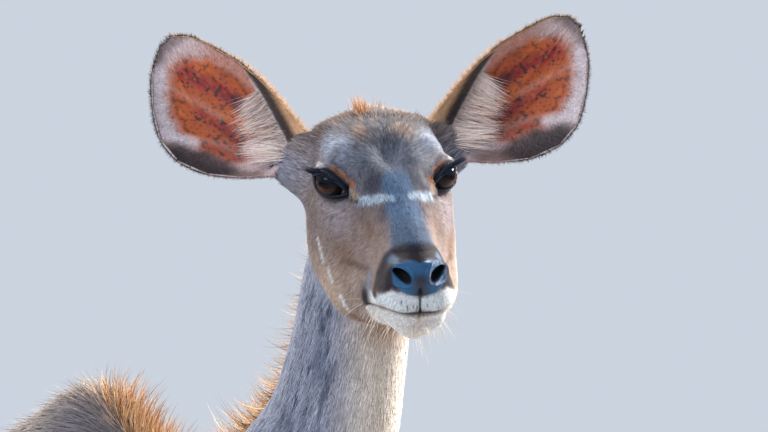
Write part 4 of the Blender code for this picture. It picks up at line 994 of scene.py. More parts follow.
def face_colour(local):
    """Colours of the head, in its own coordinates, and how wet and bare the skin is."""
    x, y, z = local.T
    ax = np.abs(x)
    soft = 0.5 * grain(local, 0.016, 3) + 0.5 * grain(local, 0.006, 4)
    turn, reach = np.arctan2(x, y - WHORL[1]), np.hypot(x, y - WHORL[1])
    strands = grain(np.stack([0.055 * np.sin(turn), 0.055 * np.cos(turn), 0.2 * reach], 1), 0.0021, 9)
    drift = local + 0.004 * soft[:, None]
    # The back of the head turns to the grey with its painted sky blue
    colour = mix(TAUPE, SKY_TINTED_GREY, 0.8 * ramp(0.03, 0.075, y) * ramp(0.02, -0.02, z))
    for _, paint, strength, place, size in FACE_PATCHES:
        colour = mix(colour, paint, np.minimum(1.0, 1.3 * strength * patch(drift, place, size)))
    # A steel blue band from the whorl down the bridge, deeper towards the nose: a painted sheen of sky light
    half_band = np.interp(-y, (0.03, 0.07, 0.11, 0.14, 0.17), (0.008, 0.017, 0.018, 0.019, 0.023))
    bridge = ramp(half_band + 0.006, half_band - 0.005, ax + 0.003 * soft) * ramp(-0.02, 0.0, z)
    sky_sheen = mix(tone(92, 122, 158), tone(72, 98, 130), ramp(-0.125, -0.16, y))
    colour = mix(colour, sky_sheen, 0.92 * bridge * ramp(-0.028, -0.06, y))
    # Hair fans from the whorl to the crown in dark, tan and cream strands
    fan = ramp(-0.04, -0.01, y) * ramp(-0.01, 0.02, z)
    fan *= 1 - 0.75 * ramp(0.024, 0.044, ax)
    v_mark = fan * ramp(0.007, 0.002, ax - 0.3 * (y + 0.03)) * ramp(0.045, 0.0, y)
    colour = mix(colour, tone(34, 40, 58), 0.35 * v_mark)
    colour = mix(colour, tone(44, 47, 60), 0.58 * fan * ramp(0.05, 0.55, strands))
    pale_strands = 0.55 * fan * ramp(-0.01, 0.04, y) * ramp(-0.3, -0.75, strands)
    colour = mix(colour, tone(196, 164, 136), pale_strands)
    # A painted cream rim of light along the back of the crown
    colour = mix(colour, CREAM, 0.6 * ramp(0.095, 0.115, y) * ramp(0.0, 0.02, z))
    bend = -0.1035 + 1.03 * ax
    bend -= 0.005 * bell(ax - 0.025, 0.01)
    chevron = ramp(0.008, 0.0036, np.abs(y - bend - 0.002 * soft)) * ramp(0.0055, 0.0105, ax)
    chevron *= ramp(0.046, 0.039, ax) * ramp(-0.004, 0.004, z)
    chevron *= 1 - 0.45 * ramp(0.1, 0.7, grain(local, 0.0024, 14))
    colour = mix(colour, tone(186, 204, 226), 0.92 * chevron)
    for _, paint, strength, width, edge, *line in FACE_STROKES:
        colour = mix(colour, paint, strength * stroke(local, *line, width=width, soft=edge))
    speckle = ramp(0.25, 0.75, grain(local, 0.0021, 13))
    colour = colour * (1 - 0.42 * speckle[:, None])
    # Nose: dark down to the lips, over its top and along its sides
    lip_line = mouth_height(y)
    lip_top = np.interp(
        ax,
        (0.0, 0.007, 0.018, 0.031, 0.0425, 0.047),
        (-0.04, -0.0365, -0.033, -0.0325, -0.046, -0.064),
    )
    cap_edge = np.interp(
        ax,
        (0.0, 0.01, 0.017, 0.024, 0.031, 0.038, 0.045),
        (-0.186, -0.182, -0.175, -0.167, -0.16, -0.163, -0.172),
    )
    cap_edge += 0.0015 * soft
    fade = 0.005 + 0.003 * ramp(0.026, 0.036, ax)
    muzzle = ramp(cap_edge + fade, cap_edge - fade, y) * ramp(lip_top - 0.002, lip_top + 0.003, z)
    colour = mix(colour, tone(34, 33, 46), 0.95 * muzzle * (1 - 0.15 * ramp(0.033, 0.042, ax)))
    # Lips and chin
    upper_lip = ramp(lip_top + 0.001, lip_top - 0.003, z) * ramp(-0.151, -0.166, y)
    upper_lip *= ramp(lip_line - 0.001, lip_line + 0.002, z)
    colour = mix(colour, tone(230, 238, 246), 0.95 * upper_lip)
    warm_lip = 0.75 * upper_lip * ramp(lip_line + 0.0075, lip_line + 0.003, z)
    colour = mix(colour, tone(206, 170, 140), warm_lip * ramp(0.012, 0.022, ax))
    dots = ramp(0.45, 0.62, grain(local * (1, 1, 0.45), 0.0022, 12)) * (upper_lip > 0.5)
    dots *= ramp(lip_line + 0.004, lip_line + 0.01, z)
    colour = mix(colour, tone(66, 70, 86), 0.8 * dots * ramp(0.034, 0.02, ax))
    lower = ramp(lip_line + 0.001, lip_line - 0.003, z) * ramp(-0.138, -0.15, y)
    lower *= ramp(-0.116, -0.098, z)
    colour = mix(colour, WHITE, 0.93 * lower)
    colour = mix(colour, tone(214, 190, 178), 0.45 * lower * ramp(0.024, 0.0, ax))
    mouth = bell(z - lip_line, 0.0014 + 0.002 * ramp(0.022, 0.004, ax)) * ramp(-0.14, -0.152, y)
    over_mouth = 0.7 * bell(z - lip_line - 0.0032, 0.0022) * ramp(0.014, 0.008, ax)
    colour = mix(colour, tone(150, 96, 78), over_mouth * ramp(-0.2, -0.21, y))
    colour = mix(colour, tone(54, 36, 34), (0.5 + 0.45 * ramp(0.026, 0.012, ax)) * mouth)
    # The nose pad: dull above, wet in front with a painted steel blue reflection of the sky, painted black
    # shade in the nostrils
    pad_bottom = -0.039 + 0.014 * (ax / 0.032) ** 2
    pad_top = 0.0065 - 0.026 * (ax / 0.034) ** 2.4
    pad = ramp(0.0355, 0.0325, ax) * ramp(pad_bottom - 0.0015, pad_bottom + 0.0015, z)
    pad *= ramp(pad_top + 0.003, pad_top - 0.002, z) * ramp(-0.168, -0.18, y)
    colour = mix(colour, PAD_BROWN, pad)
    gloss_line = z + 9.0 * ax**2 - 0.0025 + 0.0025 * bell(x, 0.005)
    front = pad * ramp(-0.0005, -0.0035, gloss_line) * ramp(0.0325, 0.029, ax)
    lower_pad = ramp(-0.009, -0.019, z) * bell(x, 0.0115)
    colour = mix(colour, PAD_SKY_REFLECTION, front * (1 - 0.85 * lower_pad))
    # A bluer painted reflection of the sky over the nostril wings
    wing = bell(ax - 0.021, 0.011) * ramp(-0.022, -0.027, z) * front
    colour = mix(colour, tone(52, 104, 146), 0.8 * wing)
    # Painted black shade down the nostrils
    pit = nostril_pit(x, z) * ramp(-0.185, -0.195, y)
    colour = mix(colour, BLACK * 0.3, ramp(0.06, 0.3, pit))
    cleft = bell(x + 0.0008, 0.0017) * ramp(-0.205, -0.212, y)
    cleft *= ramp(-0.028, -0.032, z)
    cleft *= ramp(-0.069, -0.064, z)
    colour = mix(colour, PAD_BROWN, 0.85 * cleft)
    wet = np.maximum(front, 0.4 * cleft) * (1 - ramp(0.02, 0.2, pit))
    bare = np.maximum(np.maximum(pad, cleft), 0.7 * mouth)
    for side in SIDES:
        ex, ey, ez = to_eye(from_head(local), side).T
        d = almond(ex, ey)
        here = (np.hypot(ex, ey) < 0.045) & (ez > -0.02)
        below = ramp(0.002, -0.004, ey)
        rim = here * ramp(0.006, 0.003, d - 0.0014 * (ey > 0))
        colour = mix(colour, DEEP_SLATE, here * ramp(0.012, 0.005, d) * 0.4)
        colour = mix(colour, tone(16, 22, 34), rim)
        spots = here * below * bell(d - 0.0105, 0.0016) * ramp(0.2, 0.5, grain(local, 0.0028, 15))
        colour = mix(colour, tone(40, 34, 40), 0.8 * spots)
        wet = np.maximum(wet, 0.7 * here * ramp(0.0036, 0.0022, d))
        bare = np.maximum(bare, here * ramp(0.005, 0.0034, d))
    return colour, wet, bare


# %% Colours of the whole coat
STRIPES = (-0.15, -0.06, 0.025, 0.105, 0.18, 0.255, 0.345, 0.44)


def coat_colour(points):
    """Colour, wetness and bareness of any point on the animal."""
    w = regions(points)
    x, y, z = points.T
    soft = grain(points, 0.05, 1)
    fine = grain(points * (1.0, 1.0, 0.35), 0.01, 2)
    # Neck: grey with slate streaks and painted sky blue, painted shade and a painted warm shadow under the
    # jaw, painted sunlight in cream down the lit left of the throat, warm beside the mane
    share, across, dorsal = neck_sides(points)
    streaks = grain(np.stack([across, dorsal, share * 0.16], 1), 0.0055, 5)
    neck = mix(SKY_TINTED_GREY, SLATE, 0.7 * ramp(-0.1, 0.7, streaks + 0.5 * soft))
    threads = grain(np.stack([across, dorsal, share * 0.1], 1), 0.0034, 6)
    cool_side = ramp(0.02, -0.01, dorsal) * ramp(-0.07, -0.03, dorsal)
    neck = mix(neck, tone(50, 58, 78), 0.85 * ramp(0.3, 0.75, threads) * (0.35 + 0.65 * cool_side))
    # Painted shade in slate under the jaw
    shade_under_jaw = ramp(0.8, 0.93, share) * ramp(0.0, -0.03, dorsal)
    neck = mix(neck, SLATE, 0.45 * shade_under_jaw)
    # Painted sunlight: cream down the left side of the throat only
    throat = 0.95 * ramp(-0.032, -0.064, dorsal) * ramp(-0.06, 0.0, across)
    neck = mix(neck, tone(236, 224, 214), throat)
    jaw_shadow = patch(points, (0.043, -0.862, 1.392), (0.034, 0.03, 0.022))
    neck = mix(neck, tone(146, 98, 74), 0.8 * jaw_shadow)
    by_mane = 0.85 * ramp(0.03, 0.06, dorsal) * ramp(0.045, 0.02, np.abs(across))
    neck = mix(neck, tone(128, 84, 54), by_mane)
    neck = mix(neck, GREY_BROWN, ramp(0.3, 0.0, share))
    # Trunk: grey brown, darker along the back, pale below, with thin white stripes
    # The trunk takes part of the grey with its painted sky blue
    trunk = mix(GREY_BROWN, SKY_TINTED_GREY, 0.35 + 0.25 * soft)
    trunk = mix(trunk, DARK_LEG * 1.7, 0.6 * ramp(1.12, 1.22, z) * bell(x, 0.05))
    trunk = mix(trunk, tone(104, 98, 106), 0.75 * ramp(-0.25, -0.36, y) * ramp(1.16, 1.24, z))
    trunk = mix(trunk, CREAM, 0.55 * ramp(0.78, 0.7, z) * ramp(0.14, 0.05, np.abs(x)))
    bend = y - 0.1 * (z - 0.95) + 0.01 * grain(points, 0.15, 7)
    stripe = np.zeros(len(points))
    for k, place in enumerate(STRIPES):
        lean = place + (0.3 * (1.0 - z) if place > 0.3 else 0.0)
        stripe = np.maximum(stripe, bell(bend - lean, 0.0075 + 0.001 * (k % 3)))
    stripe *= ramp(0.8, 0.9, z) * ramp(0.035, 0.07, np.abs(x))
    trunk = mix(trunk, WHITE, 0.85 * stripe)
    # Legs: grey brown above, tawny below the knee, pale inside, dark over the hooves
    legs = mix(GREY_BROWN, TAWNY, ramp(0.72, 0.5, z + 0.04 * soft))
    inner = np.where(y > 0, np.abs(x) < 0.1, np.abs(x) < 0.095)
    legs = mix(legs, CREAM, 0.45 * inner * ramp(0.3, 0.6, z))
    legs = mix(legs, DARK_LEG, 0.75 * ramp(0.11, 0.07, z + 0.02 * soft))
    tail = mix(GREY_BROWN * 0.8, WHITE, 0.9 * ramp(0.69, 0.665, y))
    tail = mix(tail, BLACK * 2, ramp(0.9, 0.78, z))
    face, wet, bare = face_colour(to_head(points))
    total = face * w["head"][:, None]
    for part, colour in (("neck", neck), ("trunk", trunk), ("legs", legs), ("tail", tail)):
        total += colour * w[part][:, None]
    return 0.86 * total * (1 + 0.07 * fine[:, None]), wet * (w["head"] > 0.5), bare * (w["head"] > 0.5)


# %% [markdown]
# ## Two eyes
# The eyeball is a full ball, as deep as the real one, with the clear bulge of the cornea in
# front. Its colours go by the angle from the line of sight: a long level pupil, a brown iris
# with fine rays, a painted shadow of the lid and lashes over its upper half, a dark rim and a
# little white at the corner.

# %% Eyeballs
EYE_RINGS, EYE_AROUND = 72, 96
IRIS_RADIUS = 0.0176
CORNEA_RISE = 0.0011
IRIS_DARK, IRIS_GLOW = tone(20, 13, 12), tone(84, 40, 28)
EYE_WHITE = tone(196, 186, 180)


def eye_ball():
    """A ball whose front swells by 1.1 mm inside the iris; polar grid about the line of sight."""
    polar = np.linspace(0, math.pi, EYE_RINGS)[1:-1, None]
    a = np.linspace(0, 2 * math.pi, EYE_AROUND, endpoint=False)
    ring = EYE_RADIUS * np.sin(polar)
    bulge = CORNEA_RISE * ramp(IRIS_RADIUS, 0.3 * IRIS_RADIUS, ring) * (polar < math.pi / 2)
    grid = np.stack([ring * np.cos(a), ring * np.sin(a), EYE_RADIUS * np.cos(polar) + bulge + 0 * a], -1)
    faces = grid_faces(len(grid), EYE_AROUND)
    points = np.vstack([grid.reshape(-1, 3), (0, 0, EYE_RADIUS + CORNEA_RISE), (0, 0, -EYE_RADIUS)])
    j = np.arange(EYE_AROUND)
    k = (j + 1) % EYE_AROUND
    last = (len(grid) - 1) * EYE_AROUND
    top = np.stack([np.full(EYE_AROUND, len(points) - 2), j, k], 1)
    low = np.stack([np.full(EYE_AROUND, len(points) - 1), last + k, last + j], 1)
    return points, np.vstack([faces[:, [0, 3, 2]], faces[:, [0, 2, 1]], top, low])


def eye_colour(points):
    """Pupil, rays of the iris, a painted shadow of the lid over its top, its dark rim and the white, by place
    round the line of sight.
    """
    x, y, _ = points.T
    r = np.hypot(x, y)
    a = np.arctan2(y, x)
    rays = grain(np.stack([np.cos(a) * 9, np.sin(a) * 9, r * 60], 1), 0.35, 8)
    glow = ramp(0.006, -0.001, y) * bell(y + 0.0025, 0.006) * bell(x + 0.001, 0.009)
    glow *= 1 - 0.4 * np.abs(rays)
    colour = mix(IRIS_DARK, IRIS_GLOW, 0.9 * glow)
    pupil = (np.abs(x) / 0.0075) ** 3 + (np.abs(y - 0.001) / 0.0034) ** 3
    colour = mix(colour, BLACK * 0.4, ramp(1.35, 0.85, pupil))
    # A painted shadow of the upper lid and lashes darkens the top of the eye
    colour = mix(colour, tone(10, 18, 32), 0.9 * ramp(0.002, 0.008, y))
    colour = mix(colour, BLACK * 0.6, ramp(IRIS_RADIUS - 0.0022, IRIS_RADIUS, r))
    return mix(colour, EYE_WHITE, ramp(IRIS_RADIUS + 0.0012, IRIS_RADIUS + 0.0026, r))


for side in SIDES:
    p, f = eye_ball()
    eye = build_mesh("kudu_eye_" + side, p, f[:, ::-1] if side == "left" else f)
    set_colours(eye, eye_colour(p))
    set_points(eye, moved(p, eye_frame(side)))
    placed(eye, "eye", "eye_" + side)

# %% [markdown]
# ## Wet rims and lashes
# What draws an eye is its edge: a thick blue-black rim, wet where it meets the ball, with
# lashes that sweep outwards. The rims are tubes bent along the almond and lie on the ball.

# %% Lid rims
RIM_POINTS = 120


def almond_edge(upper, count):
    """Points of the lid's edge from the outer to the inner corner: |y| = (1 - |x|^2.2) half heights."""
    share = np.linspace(-1, 1, count)
    x = np.where(share > 0, EYE_OPENING["inner"], EYE_OPENING["outer"]) * share
    y = (1 - np.abs(share) ** 2.2) * (EYE_OPENING["upper"] if upper else -EYE_OPENING["lower"])
    return np.stack([x, y], 1)


def rim_tube():
    """A closed tube round the almond: radius 1.9 mm below, 3 mm above, 1 mm over the ball."""
    edge = np.vstack([almond_edge(True, RIM_POINTS)[:-1], almond_edge(False, RIM_POINTS)[::-1][:-1]])
    for _ in range(3):
        edge = 0.5 * edge + 0.25 * (np.roll(edge, 1, 0) + np.roll(edge, -1, 0))
    z = ball_height(*edge.T) + 0.0009
    middle = np.column_stack([edge, z])
    way = unit(np.roll(middle, -1, 0) - np.roll(middle, 1, 0))
    out = unit(middle - (middle * way).sum(1, keepdims=True) * way)
    across = np.cross(way, out)
    radius = 0.0019 + 0.0011 * ramp(-0.002, 0.006, edge[:, 1])
    a = np.linspace(0, 2 * math.pi, 14, endpoint=False)
    ring = out[:, None] * np.cos(a)[:, None] * 0.8 + across[:, None] * np.sin(a)[:, None]
    points = middle[:, None] + ring * radius[:, None, None]
    grid = np.concatenate([points, points[:1]])
    faces = grid_faces(len(grid), 14) % (len(points) * 14)
    return points.reshape(-1, 3), faces


for side in SIDES:
    p, f = rim_tube()
    if np.linalg.det(axes_of(eye_frame(side))) < 0:
        f = f[:, ::-1]
    rim = build_mesh("lid_rim_" + side, moved(p, eye_frame(side)), f)
    set_colours(rim, np.tile(tone(22, 30, 46), (len(p), 1)))
    placed(rim, "hide")

# %% [markdown]
# ## The ears
# A kudu's ear is a deep trumpet of gristle, longer than half the face. It is a grid between
# its upper and its lower margin, pushed back into a cup, with a second face behind it for the
# wall. Inside, the thin skin glows orange where light comes through, with dark veins, and
# the rim is dark below and pale towards the tip.

# %% Ear cups
EAR_UPPER = [
    (0.0, 0.034), (0.16, 0.039), (0.32, 0.042), (0.47, 0.042),
    (0.63, 0.039), (0.78, 0.031), (0.91, 0.022), (1.0, 0.006),
]
EAR_LOWER = [
    (0.0, -0.027), (0.12, -0.053), (0.27, -0.077), (0.44, -0.09),
    (0.61, -0.087), (0.77, -0.068), (0.91, -0.042), (1.0, -0.01),
]
EAR_CUP = (0.026, 0.034, 0.036, 0.034, 0.028, 0.02, 0.011, 0.004)
EAR_WALL = 0.0026
EAR_ROWS, EAR_ACROSS = 145, 101
EAR_FIT = {"left": (0.965, 0.003), "right": (1.0, -0.0035)}


def ear_points(rows, across):
    """Inner and outer face of the cup in the ear's frame: the depth is cup * (4 v (1 - v))^0.75."""
    t = np.linspace(0, len(EAR_UPPER) - 1, rows)
    upper = spline(EAR_UPPER, t) * (EAR_LENGTH, 1)
    lower = spline(EAR_LOWER, t) * (EAR_LENGTH, 1)
    cup = spline(np.array(EAR_CUP)[:, None], t)[:, 0]
    v = np.linspace(0, 1, across)
    flat = upper[:, None] * (1 - v)[:, None] + lower[:, None] * v[:, None]
    arch = (4 * v * (1 - v)) ** 0.75
    depth = cup[:, None] * arch
    filled = ramp(0.0, 0.16, np.linspace(0, 1, rows))[:, None]
    inner = np.concatenate([flat, -(depth * filled)[..., None]], -1)
    wall = EAR_WALL * (0.45 + 0.55 * arch)
    ridges = sum(0.0012 * bell(v - place, 0.022) for place in (0.24, 0.4, 0.56))
    run = t / t[-1]
    inner[..., 2] += ridges * ramp(0.1, 0.35, run)[:, None] * ramp(1.0, 0.8, run)[:, None]
    outer = np.concatenate([flat, -(depth + wall)[..., None]], -1)
    return inner, outer


def from_ear(local, side):
    """From the ear's frame to the animal, with each ear's own length and place."""
    length, lift = EAR_FIT[side]
    return moved(local * (length, 1, 1) + (0, lift, 0), ear_frame(side))


def ear_faces(rows, across):
    """Quads of both faces and of the rim that joins them."""
    front = grid_faces(rows, across, closed=False)
    behind = front[:, ::-1] + rows * across
    rim = [*range(across)]
    rim += [across * k + across - 1 for k in range(1, rows)]
    rim += [across * (rows - 1) + k for k in range(across - 2, -1, -1)]
    rim += [across * k for k in range(rows - 2, 0, -1)]
    p = np.array(rim)
    q = np.roll(p, -1)
    edge = np.stack([p, p + rows * across, q + rows * across, q], 1)
    return np.vstack([front, behind, edge])


def ear_opening(x):
    """Where the opening's upper edge runs, and the ear's fur begins behind it."""
    return np.interp(x, (0.0, 0.04, 0.084, 0.115, 0.14, 0.21), (0.006, 0.018, 0.031, 0.038, 0.046, 0.05))


def ear_margins(x):
    """Height of the upper and of the lower margin at each place along the ear."""
    upper, lower = np.array(EAR_UPPER) * (EAR_LENGTH, 1), np.array(EAR_LOWER) * (EAR_LENGTH, 1)
    return np.interp(x, *upper.T), np.interp(x, *lower.T)


def warm_place(x, y):
    """A place counted in half sizes of the orange hollow of the cup, from its middle."""
    return (x - 0.112) / 0.066, (y + 0.016) / 0.046


RED_STREAKS = (
    (1.0, 0.008, (0.174, -0.014, 0), (0.12, 0.003, 0), (0.07, 0.014, 0)),
    (0.75, 0.008, (0.124, -0.031, 0), (0.064, -0.018, 0)),
    (0.75, 0.0075, (0.092, -0.048, 0), (0.054, -0.036, 0)),
)
PALE_VEINS = (
    ((0.168, -0.036, 0), (0.136, -0.026, 0), (0.105, -0.018, 0)),
    ((0.118, -0.066, 0), (0.085, -0.043, 0), (0.062, -0.035, 0)),
)
PALE_BEND = ((0.19, -0.03, 0), (0.16, -0.062, 0), (0.128, -0.076, 0), (0.104, -0.062, 0))


def ear_colour(local, inside):
    """Colours by place in the ear's frame: x to the tip, y to the upper edge; inside is 1 in the cup."""
    x, y, _ = local.T
    flat = local * (1, 1, 0)
    soft = grain(flat, 0.012, 21)
    fine = grain(flat * (0.35, 1, 1), 0.0025, 22)
    upper, lower = ear_margins(x)
    edge = np.minimum(np.minimum(upper - y, y - lower), 1.1 * (EAR_LENGTH - x))
    rosy = ramp(0.018, 0.034, edge + 0.005 * soft) * ramp(0.03, 0.06, x)
    colour = mix(tone(204, 182, 184), tone(190, 124, 100), 0.8 * rosy)
    upper_side = ramp(0.026, 0.006, upper - y) * ramp(0.05, 0.09, x) * ramp(0.19, 0.15, x)
    colour = mix(colour, tone(194, 124, 96), 0.65 * upper_side)
    # The orange in the cup is painted light shining through the thin skin
    warm = ramp(1.18, 0.86, np.hypot(*warm_place(x, y)) + 0.1 * soft)
    colour = mix(colour, tone(166, 72, 18), warm)
    # Painted shade, deeper in the cup towards its base, broken by noise
    cup_shade = ramp(0.2, 0.9, soft + 0.6 * ramp(0.12, 0.06, x))
    colour = mix(colour, tone(108, 46, 20), 0.8 * warm * cup_shade)
    lit = ramp(0.1, 0.8, grain(flat * (0.4, 1, 1), 0.008, 26))
    colour = mix(colour, tone(196, 106, 50), 0.45 * warm * lit)
    red = np.zeros(len(x))
    for strength, width, *line in RED_STREAKS:
        red = np.maximum(red, strength * stroke(flat, *line, width=width, soft=0.8))
    red *= ramp(-0.9, -0.1, fine) * warm
    colour = mix(colour, tone(132, 8, 22), 0.95 * red)
    dots = ramp(0.34, 0.5, grain(flat, 0.003, 24)) * warm
    colour = mix(colour, tone(28, 12, 16), np.minimum(0.95, 0.6 + red) * dots)
    shade = ramp(0.2, 0.8, red) * ramp(0.135, 0.09, x) * ramp(-0.5, 0.3, fine)
    colour = mix(colour, tone(44, 14, 24), 0.85 * shade * (y > -0.005))
    for line in PALE_VEINS:
        colour = mix(colour, tone(214, 176, 160), 0.18 * stroke(flat, *line, width=0.004, soft=0.98))
    pale = stroke(flat, *PALE_BEND, width=0.006, soft=0.9)
    colour = mix(colour, tone(222, 216, 226), 0.6 * pale)
    line = np.interp(
        x,
        (0.0, 0.03, 0.06, 0.085, 0.115, 0.13),
        (-0.03, -0.042, -0.05, -0.058, -0.073, -0.094),
    )
    border = ramp(0.007, -0.007, y - line + 0.003 * soft) * ramp(0.124, 0.108, x + 0.004 * soft)
    dark = mix(tone(74, 60, 62), tone(36, 30, 36), ramp(0.0, -0.02, y - line))
    colour = mix(colour, dark, 0.94 * border)
    colour = mix(colour, tone(196, 160, 152), 0.7 * border * ramp(0.05, 0.02, x))
    tip = ramp(0.188, 0.204, x + 0.003 * soft)
    colour = mix(colour, tone(82, 70, 72), 0.7 * tip)
    behind = y - ear_opening(x)
    furred = mix(tone(72, 60, 58), tone(220, 174, 136), ramp(0.008, 0.018, behind))
    colour = mix(colour, furred, ramp(-0.001, 0.001, behind))
    lit = 0.8 * bell(behind + 0.001, 0.0016) * ramp(0.12, 0.08, x)
    colour = mix(colour, tone(226, 228, 238), lit)
    rim = ramp(0.0022, 0.001, edge)
    colour = mix(colour, tone(40, 34, 38), 0.9 * rim * ramp(0.09, 0.13, x))
    back = mix(GREY_BROWN * 0.85, tone(96, 78, 70), 0.6 + 0.3 * soft)
    back = mix(back, tone(206, 160, 118), 0.75 * ramp(0.024, 0.04, y))
    back = mix(back, DEEP_SLATE * 0.7, 0.6 * ramp(-0.045, -0.075, y))
    return mix(back, colour, inside) * (1 + 0.08 * fine[:, None])


ears = {}
for side in SIDES:
    inner, outer = ear_points(EAR_ROWS, EAR_ACROSS)
    local = np.vstack([inner.reshape(-1, 3), outer.reshape(-1, 3)])
    inside = np.repeat([1.0, 0.0], len(local) // 2)
    ear = build_mesh("kudu_ear_" + side, from_ear(local, side), ear_faces(EAR_ROWS, EAR_ACROSS))
    work = bmesh.new()
    work.from_mesh(ear.data)
    bmesh.ops.recalc_face_normals(work, faces=work.faces)
    work.to_mesh(ear.data)
    work.free()
    set_colours(ear, ear_colour(local, inside))
    ears[side] = (points_of(ear), normals_of(ear), triangles_of(ear))
    placed(ear, "ear_skin", "ear_" + side)

# %% [markdown]
# ## Cloven hooves
# Each foot ends in two claws of horn, flat below, upright between, with the toe to the front
# and fine growth rings round the wall. Two dewclaws sit behind the fetlock.

# %% Claws and dewclaws
CLAW_SECTIONS = [
    (0.0, -0.056, 0.026, 0.035),
    (0.004, -0.056, 0.028, 0.0355),
    (0.024, -0.045, 0.029, 0.0335),
    (0.04, -0.036, 0.028, 0.031),
    (0.056, -0.028, 0.024, 0.028),
]
HORN_DARK, HORN_PALE = tone(44, 38, 36), tone(96, 82, 70)
RING_PITCH = 0.0035


def growth_rings(z):
    """A wave from -1 to 1 up the wall of the hoof, one ring to each 3.5 mm."""
    return np.sin(z * 2 * math.pi / RING_PITCH)


def claw(x, y, outward):
    """Half a hoof: rings of a superellipse that narrow to the toe, from the sole to the hair."""
    a = np.linspace(0, 2 * math.pi, 48, endpoint=False)
    t = np.linspace(0, len(CLAW_SECTIONS) - 1, 40)
    z, toe, heel, outer = spline(CLAW_SECTIONS, t).T[:, :, None]
    across = np.sign(np.cos(a)) * np.abs(np.cos(a)) ** 0.75
    run = np.sign(np.sin(a)) * np.abs(np.sin(a)) ** 0.85
    middle, half = (0.0015 + outer) / 2, (outer - 0.0015) / 2
    narrow = 1.0 - 0.35 * np.clip(-run, 0, 1) ** 2
    side = middle + half * (across * narrow) - 0.5 * half * (1 - narrow)
    length = (toe + heel) / 2 + (heel - toe) / 2 * run
    rings = 0.0002 * growth_rings(z) * ramp(0.003, 0.008, z)
    wide = x + outward * (side + rings * across)
    grid = np.stack([wide, y + length + rings * run, np.maximum(z, 0) + 0 * a], -1)
    return capped(grid)


def dewclaw(x, y, z):
    """A blunt drop of horn behind the fetlock, pointing down and back."""
    rows = [(x, y, z, 0.007, 0.007, 0.007), (x, y + 0.008, z - 0.01, 0.008, 0.007, 0.007)]
    rows += [(x, y + 0.013, z - 0.02, 0.006, 0.005, 0.005), (x, y + 0.015, z - 0.026, 0.002, 0.002, 0.002)]
    return capped(tube(rows, 14, 16))


leg_skin = points_of(skin)
for leg in STANCE:
    rows, side, lean = leg_of(leg)
    ankle_x, ankle_y, ankle_z = np.array(rows)[-1, :3]
    foot_x, foot_y = side * ankle_x, ankle_y + lean * (1 - ankle_z / LEAN_FROM)
    for half, outward in (("inner", -side), ("outer", side)):
        p, f = claw(foot_x, foot_y, outward)
        hoof = build_mesh(f"hoof_{leg}_{half}", p, f)
        shade = 0.5 + 0.5 * grain(p * (1, 1, 0.3), 0.004, 31)
        shade = 0.3 * shade + 0.15 * (0.5 + 0.5 * growth_rings(p[:, 2]))
        set_colours(hoof, mix(HORN_DARK, HORN_PALE, shade))
        placed(hoof, "horn", f"{leg}_hoof_{half}")
    parts = []
    for k, offset in enumerate((-0.016, 0.016)):
        fetlock = (foot_x + offset, foot_y, 0.122)
        near = (np.abs(leg_skin - fetlock) < (0.009, 0.09, 0.01)).all(1)
        p, f = dewclaw(foot_x + offset, leg_skin[near, 1].max() - 0.004, 0.126)
        parts.append((p, f + k * len(p)))
    spur = build_mesh("dewclaws_" + leg, np.vstack([q[0] for q in parts]), np.vstack([q[1] for q in parts]))
    set_colours(spur, np.tile(HORN_DARK, (len(spur.data.vertices), 1)))
    placed(spur, "horn")

# %% [markdown]
# ## Finishes
# All the flesh and hair share one idea: the colour comes from the piece's own attribute, so
# markings run on from skin to hair, and small shader groups add what is finer than the mesh.
# One group breaks up a colour, another gives the height of fine grain for a bump.

# %% Shader groups
def shader_group(name, inputs, outputs):
    """A node group with named float or colour sockets, and its two end nodes."""
    group = bpy.data.node_groups.new(name, "ShaderNodeTree")
    for label, kind, value in inputs:
        socket = group.interface.new_socket(label, in_out="INPUT", socket_type=kind)
        socket.default_value = value
    for label, kind in outputs:
        group.interface.new_socket(label, in_out="OUTPUT", socket_type=kind)
    return group, group.nodes.new("NodeGroupInput"), group.nodes.new("NodeGroupOutput")


def dial(node, **values):
    """Sets a node's inputs by their names, written with an underscore for each blank."""
    for socket, value in values.items():
        node.inputs[socket.replace("_", " ")].default_value = value


def wire(tree, *links):
    """Joins sockets: each link is a node and its output, then a node and its input."""
    for source, outlet, target, inlet in links:
        tree.links.new(source.outputs[outlet], target.inputs[inlet])


FLOAT, COLOUR = "NodeSocketFloat", "NodeSocketColor"

mottle, m_in, m_out = shader_group(
    "mottled_colour",
    [("Colour", COLOUR, (0.5, 0.5, 0.5, 1)), ("Size", FLOAT, 400.0), ("Amount", FLOAT, 0.25)],
    [("Colour", COLOUR)],
)
m_place = mottle.nodes.new("ShaderNodeTexCoord")
m_noise = mottle.nodes.new("ShaderNodeTexNoise")
m_range = mottle.nodes.new("ShaderNodeMapRange")
m_mix = mottle.nodes.new("ShaderNodeMix")
m_mix.data_type = "RGBA"
m_mix.blend_type = "MULTIPLY"
dial(m_noise, Detail=3.0)
dial(m_range, From_Min=0.3, From_Max=0.7, To_Min=0.35, To_Max=1.25)
wire(
    mottle,
    (m_place, "Object", m_noise, "Vector"),
    (m_in, "Size", m_noise, "Scale"),
    (m_noise, "Fac", m_range, "Value"),
    (m_in, "Amount", m_mix, "Factor"),
    (m_in, "Colour", m_mix, 6),
    (m_range, "Result", m_mix, 7),
    (m_mix, 2, m_out, "Colour"),
)

pebble, p_in, p_out = shader_group(
    "pebbled_height", [("Size", FLOAT, 600.0), ("Amount", FLOAT, 1.0)], [("Height", FLOAT)]
)
p_place = pebble.nodes.new("ShaderNodeTexCoord")
p_cells = pebble.nodes.new("ShaderNodeTexVoronoi")
p_scale = pebble.nodes.new("ShaderNodeMath")
p_scale.operation = "MULTIPLY"
wire(
    pebble,
    (p_place, "Object", p_cells, "Vector"),
    (p_in, "Size", p_cells, "Scale"),
    (p_cells, "Distance", p_scale, 0),
    (p_in, "Amount", p_scale, 1),
    (p_scale, "Value", p_out, "Height"),
)


